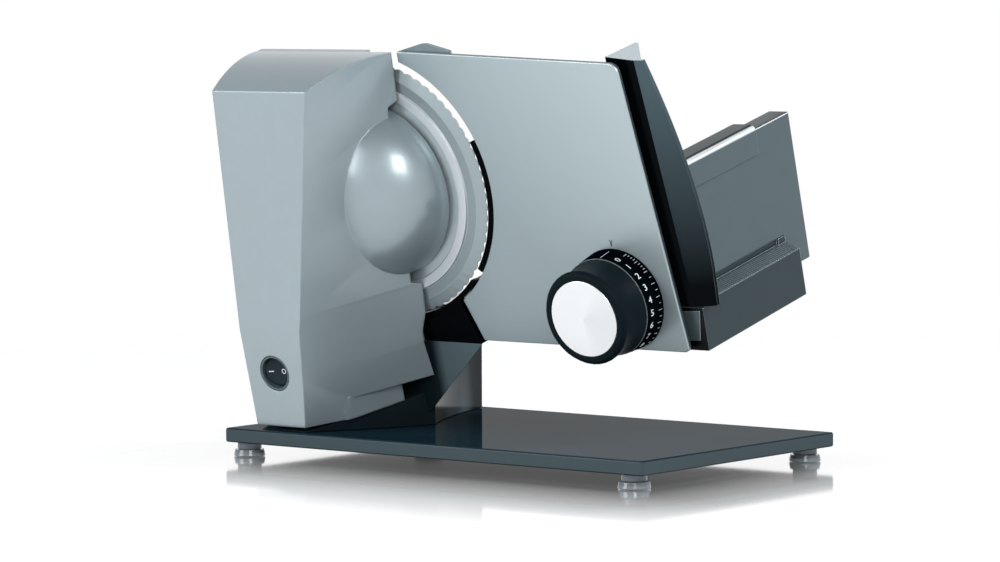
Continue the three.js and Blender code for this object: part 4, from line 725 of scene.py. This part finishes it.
def dial_seam():
    inner, outer = [front_radius - inside for inside in EDGE_HIGHLIGHT_INSIDE]
    near, far = dial_front - EDGE_HIGHLIGHT_STAND, dial_front + EDGE_HIGHLIGHT_SINK
    profile = [(inner, near), (outer, near), (outer, far), (inner, far)]
    return ring_mesh("dial_seam", knob_centre, profile, EDGE_HIGHLIGHT_STEPS)


piece("dial_seam", dial_seam(), highlight_grey, "knob")


# Pointer on the plate above the dial: a stem with two barbs

POINTER_OUTLINE = [
    (-1.32, 4.16), (0, 1.76), (1.32, 4.16), (0.78, 4.16), (0.21, 2.88),
    (0.21, 0), (-0.21, 0), (-0.21, 2.88), (-0.78, 4.16),
]
POINTER_GAP = 1.2
POINTER_STAND = 0.12
POINTER_SINK = 0.2


def plate_pointer():
    bm = bmesh.new()
    foot = knob_centre.z + dial_radius + POINTER_GAP
    front, back = [
        [bm.verts.new(on_head(knob_centre.x + x, y, foot + z)) for x, z in POINTER_OUTLINE]
        for y in (plate_front - POINTER_STAND, plate_front + POINTER_SINK)]
    prism(bm, front, back)
    return closed_mesh(bm, "plate_pointer")


piece("plate_pointer", plate_pointer(), dark_ink, "plate")


# Marks on the rocker: a dash on the left, a ring on the right

ROCKER_TILT = math.radians(8)
ROCKER_PLACE = Matrix.Translation(joints["rocker_tilt"]["pos_m"])
ROCKER = ROCKER_PLACE @ Matrix.Rotation(TILT, 4, "X") @ Matrix.Rotation(ROCKER_TILT, 4, "Z")
IN_FRONT = -60
MARK_STAND = 0.06
MARK_SINK = 0.3
DASH_FROM, DASH_TO, DASH_HALF = -7.2, -3.8, 0.3
DASH_PARTS = 6
RING_X, RING_INNER, RING_OUTER = 3.8, 1.15, 1.7
RING_STEPS = 24


def rocker_marks():
    """A dash and a ring that follow the dished face of the rocker."""
    source = nodes["switch_rocker"].data
    corners = [(ROCKER.inverted() @ v.co) / MM for v in source.vertices]
    face = BVHTree.FromPolygons(corners, [list(p.vertices) for p in source.polygons])
    bm = bmesh.new()

    def pillar(x, z):
        """Front and back corner of a mark at a place on the face."""
        depth = face.ray_cast(Vector((x, IN_FRONT, z)), Vector((0, 1, 0)))[0].y
        ends = (depth - MARK_STAND, depth + MARK_SINK)
        return [bm.verts.new(ROCKER @ (Vector((x, y, z)) * MM)) for y in ends]

    def strip(low, high, closed):
        """Closed solid between two rows of pillars."""
        count = len(low)
        for i in range(count if closed else count - 1):
            j = (i + 1) % count
            bm.faces.new((low[i][0], low[j][0], high[j][0], high[i][0]))
            bm.faces.new((low[j][1], low[i][1], high[i][1], high[j][1]))
            for row in (low, high):
                bm.faces.new((row[i][0], row[i][1], row[j][1], row[j][0]))
        if not closed:
            for i in (0, count - 1):
                bm.faces.new((low[i][0], high[i][0], high[i][1], low[i][1]))

    def circle(radius):
        turns = [2 * math.pi * i / RING_STEPS for i in range(RING_STEPS)]
        return [pillar(RING_X + radius * math.cos(t), radius * math.sin(t)) for t in turns]

    places = [DASH_FROM + (DASH_TO - DASH_FROM) * i / DASH_PARTS for i in range(DASH_PARTS + 1)]
    strip(*[[pillar(x, z) for x in places] for z in (-DASH_HALF, DASH_HALF)], closed=False)
    strip(circle(RING_INNER), circle(RING_OUTER), closed=True)
    return closed_mesh(bm, "rocker_marks")


piece("rocker_marks", rocker_marks(), white_ink, "rocker")


# Ribs on the sloping ledge beside the pusher wall

LEDGE_INNER = (223.8, -66.4)
LEDGE_OUTER = (233.1, -70.3)
RIB_START = 17
RIB_END = 116.5
RIB_PITCH = 2.2
RIB_WIDTH = 1.3
RIB_HEIGHT = 0.5
RIB_SINK = 0.2
RIB_SECTION = [
    (-RIB_WIDTH / 2, -RIB_SINK), (RIB_WIDTH / 2, -RIB_SINK),
    (RIB_WIDTH / 4, RIB_HEIGHT), (-RIB_WIDTH / 4, RIB_HEIGHT),
]


def ledge_ribs():
    bm = bmesh.new()
    count = int((RIB_END - RIB_START) / RIB_PITCH)
    for i in range(count + 1):
        middle = RIB_START + i * RIB_PITCH
        inner, outer = [
            [bm.verts.new(on_head(x, middle + across, z + rise)) for across, rise in RIB_SECTION]
            for x, z in (LEDGE_INNER, LEDGE_OUTER)]
        prism(bm, inner, outer)
    return closed_mesh(bm, "ledge_ribs")


piece("ledge_ribs", ledge_ribs(), rib_and_shaded_tab_grey, "carriage")


# Grey panel set in the dark near end of the tray

PANEL_OUTLINE = [(208.5, -76.6), (231, -75.2), (228.2, -94.4), (204, -95.4)]
PANEL_STAND = 0.15
PANEL_SINK = 0.4


def tray_panel():
    bm = bmesh.new()
    front, back = [
        [bm.verts.new(on_head(x, y, z)) for x, z in PANEL_OUTLINE]
        for y in (tray_near - PANEL_STAND, tray_near + PANEL_SINK)]
    prism(bm, front, back)
    return closed_mesh(bm, "tray_panel")


piece("tray_panel", tray_panel(), dark_grey, "carriage")


# Stage: pale floor that fades into a white surround, soft boxes, sizes in metres

WHITE = (1, 1, 1, 1)
AMBIENT_COLOR = (0.93, 0.97, 1, 1)
MIRRORED_RISE, MIRRORED_LIGHT = (0.3, 0.85), (1.0, 0.3)
AMBIENT_RISE, AMBIENT_LIGHT = (0.2, 0.9), (0.46, 0.12)
FLOOR_HALF = 3
FLOOR_COLOR = (0.5, 0.5, 0.5, 1)
BOUNCE_COLOR = (0.8, 0.8, 0.8, 1)
FLOOR_ROUGHNESS = 0.08
GLOSS_SHARE = 0.9
GLOSS_REACH = 0.21
GLOW_BESIDE = 0.03
GLOW_FURTHER = 0.72
FLOOR_FADE = (0.35, 1.1)


class Wiring:
    """Short hand for the node trees of the surround and the floor."""

    def __init__(self, tree):
        self.tree = tree
        tree.nodes.clear()
        paths = self.tree.nodes.new("ShaderNodeLightPath").outputs
        self.camera = paths["Is Camera Ray"]
        mirrored = self.larger(paths["Is Glossy Ray"], paths["Is Transmission Ray"])
        self.seen = self.larger(self.camera, mirrored)

    def add(self, kind, *sources, output=0, **settings):
        made = self.tree.nodes.new(kind)
        for key, value in settings.items():
            setattr(made, key, value)
        for socket, source in zip(made.inputs, sources):
            if isinstance(source, bpy.types.NodeSocket):
                self.tree.links.new(source, socket)
            elif source is not None:
                socket.default_value = source
        return made.outputs[output]

    def larger(self, first, second):
        return self.add("ShaderNodeMath", first, second, operation="MAXIMUM")

    def vector(self, operation, *sources, output=0):
        return self.add("ShaderNodeVectorMath", *sources, operation=operation, output=output)

    def ramp(self, source, start, end, low=0.0, high=1.0):
        return self.add("ShaderNodeMapRange", source, start, end, low, high)

    def blend(self, factor, first, second):
        return self.add("ShaderNodeMixShader", factor, first, second)

    def finish(self, kind, shader):
        self.tree.links.new(shader, self.tree.nodes.new(kind).inputs["Surface"])


def surround():
    """White where it is seen, dimmer overhead in mirrors, and dimmer again as light."""
    world = bpy.data.worlds.new("surround")
    bpy.context.scene.world = world
    world.use_nodes = True
    wires = Wiring(world.node_tree)
    direction = wires.tree.nodes.new("ShaderNodeTexCoord").outputs["Generated"]
    rise = wires.add("ShaderNodeSeparateXYZ", direction, output=2)
    white = wires.add("ShaderNodeBackground", WHITE, 1.0)
    mirrored_light = wires.ramp(rise, *MIRRORED_RISE, *MIRRORED_LIGHT)
    mirrored = wires.add("ShaderNodeBackground", WHITE, mirrored_light)
    ambient_light = wires.ramp(rise, *AMBIENT_RISE, *AMBIENT_LIGHT)
    ambient = wires.add("ShaderNodeBackground", AMBIENT_COLOR, ambient_light)
    around = wires.blend(wires.seen, ambient, mirrored)
    wires.finish("ShaderNodeOutputWorld", wires.blend(wires.camera, around, white))


surround()


def floor_material():
    """Glossy beside the base, plain further out, and clear towards the surround."""
    material = bpy.data.materials.new("floor")
    material.use_nodes = True
    wires = Wiring(material.node_tree)
    place = wires.tree.nodes.new("ShaderNodeTexCoord").outputs["Object"]
    base_low, base_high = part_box("base_plate")
    middle = (base_low + base_high) / 2
    half = (base_high - base_low) / 2
    offset = wires.vector("ABSOLUTE", wires.vector("SUBTRACT", place, (middle.x, middle.y, 0)))
    beyond = wires.vector("MAXIMUM", wires.vector("SUBTRACT", offset, (half.x, half.y, 1)), (0, 0, 0))
    from_base = wires.vector("LENGTH", beyond, output=1)
    from_middle = wires.vector("LENGTH", place, output=1)
    diffuse = wires.add("ShaderNodeBsdfDiffuse", FLOOR_COLOR)
    bounce = wires.add("ShaderNodeBsdfDiffuse", BOUNCE_COLOR)
    glossy = wires.add("ShaderNodeBsdfAnisotropic", WHITE, FLOOR_ROUGHNESS)

    def lit(shader, glow):
        return wires.add("ShaderNodeAddShader", shader, wires.add("ShaderNodeEmission", None, glow))

    beside = lit(wires.blend(GLOSS_SHARE, diffuse, glossy), GLOW_BESIDE)
    further = lit(diffuse, GLOW_FURTHER)
    floor_seen = wires.blend(wires.ramp(from_base, 0.0, GLOSS_REACH), beside, further)
    ground = wires.blend(wires.camera, wires.blend(wires.seen, bounce, further), floor_seen)
    clear = wires.add("ShaderNodeBsdfTransparent")
    faded = wires.blend(wires.ramp(from_middle, *FLOOR_FADE), ground, clear)
    wires.finish("ShaderNodeOutputMaterial", faded)
    return material


floor_grid = bmesh.new()
bmesh.ops.create_grid(floor_grid, x_segments=1, y_segments=1, size=FLOOR_HALF)
floor_mesh = as_mesh(floor_grid, "floor")
floor_mesh.materials.append(floor_material())
floor = bpy.data.objects.new("floor", floor_mesh)
bpy.context.scene.collection.objects.link(floor)


def soft_box(name, place, target, width, height, power):
    data = bpy.data.lights.new(name, "AREA")
    data.shape = "RECTANGLE"
    data.size = width
    data.size_y = height
    data.energy = power
    lamp = bpy.data.objects.new(name, data)
    bpy.context.scene.collection.objects.link(lamp)
    lamp.location = place
    lamp.rotation_mode = "QUATERNION"
    lamp.rotation_quaternion = (Vector(target) - Vector(place)).to_track_quat("-Z", "Y")


soft_box("key", place=(-0.9, -1.6, 0.75), target=(0, 0, 0.14), width=1.0, height=1.0, power=22)
soft_box("fill", place=(1.2, -1.3, 0.9), target=(0, 0, 0.14), width=0.65, height=0.75, power=14)
soft_box("strip", place=(1.26, 0.42, 1.06), target=(0, 0, 0.17), width=0.12, height=0.5, power=14)

bpy.context.scene.view_settings.view_transform = "Standard"
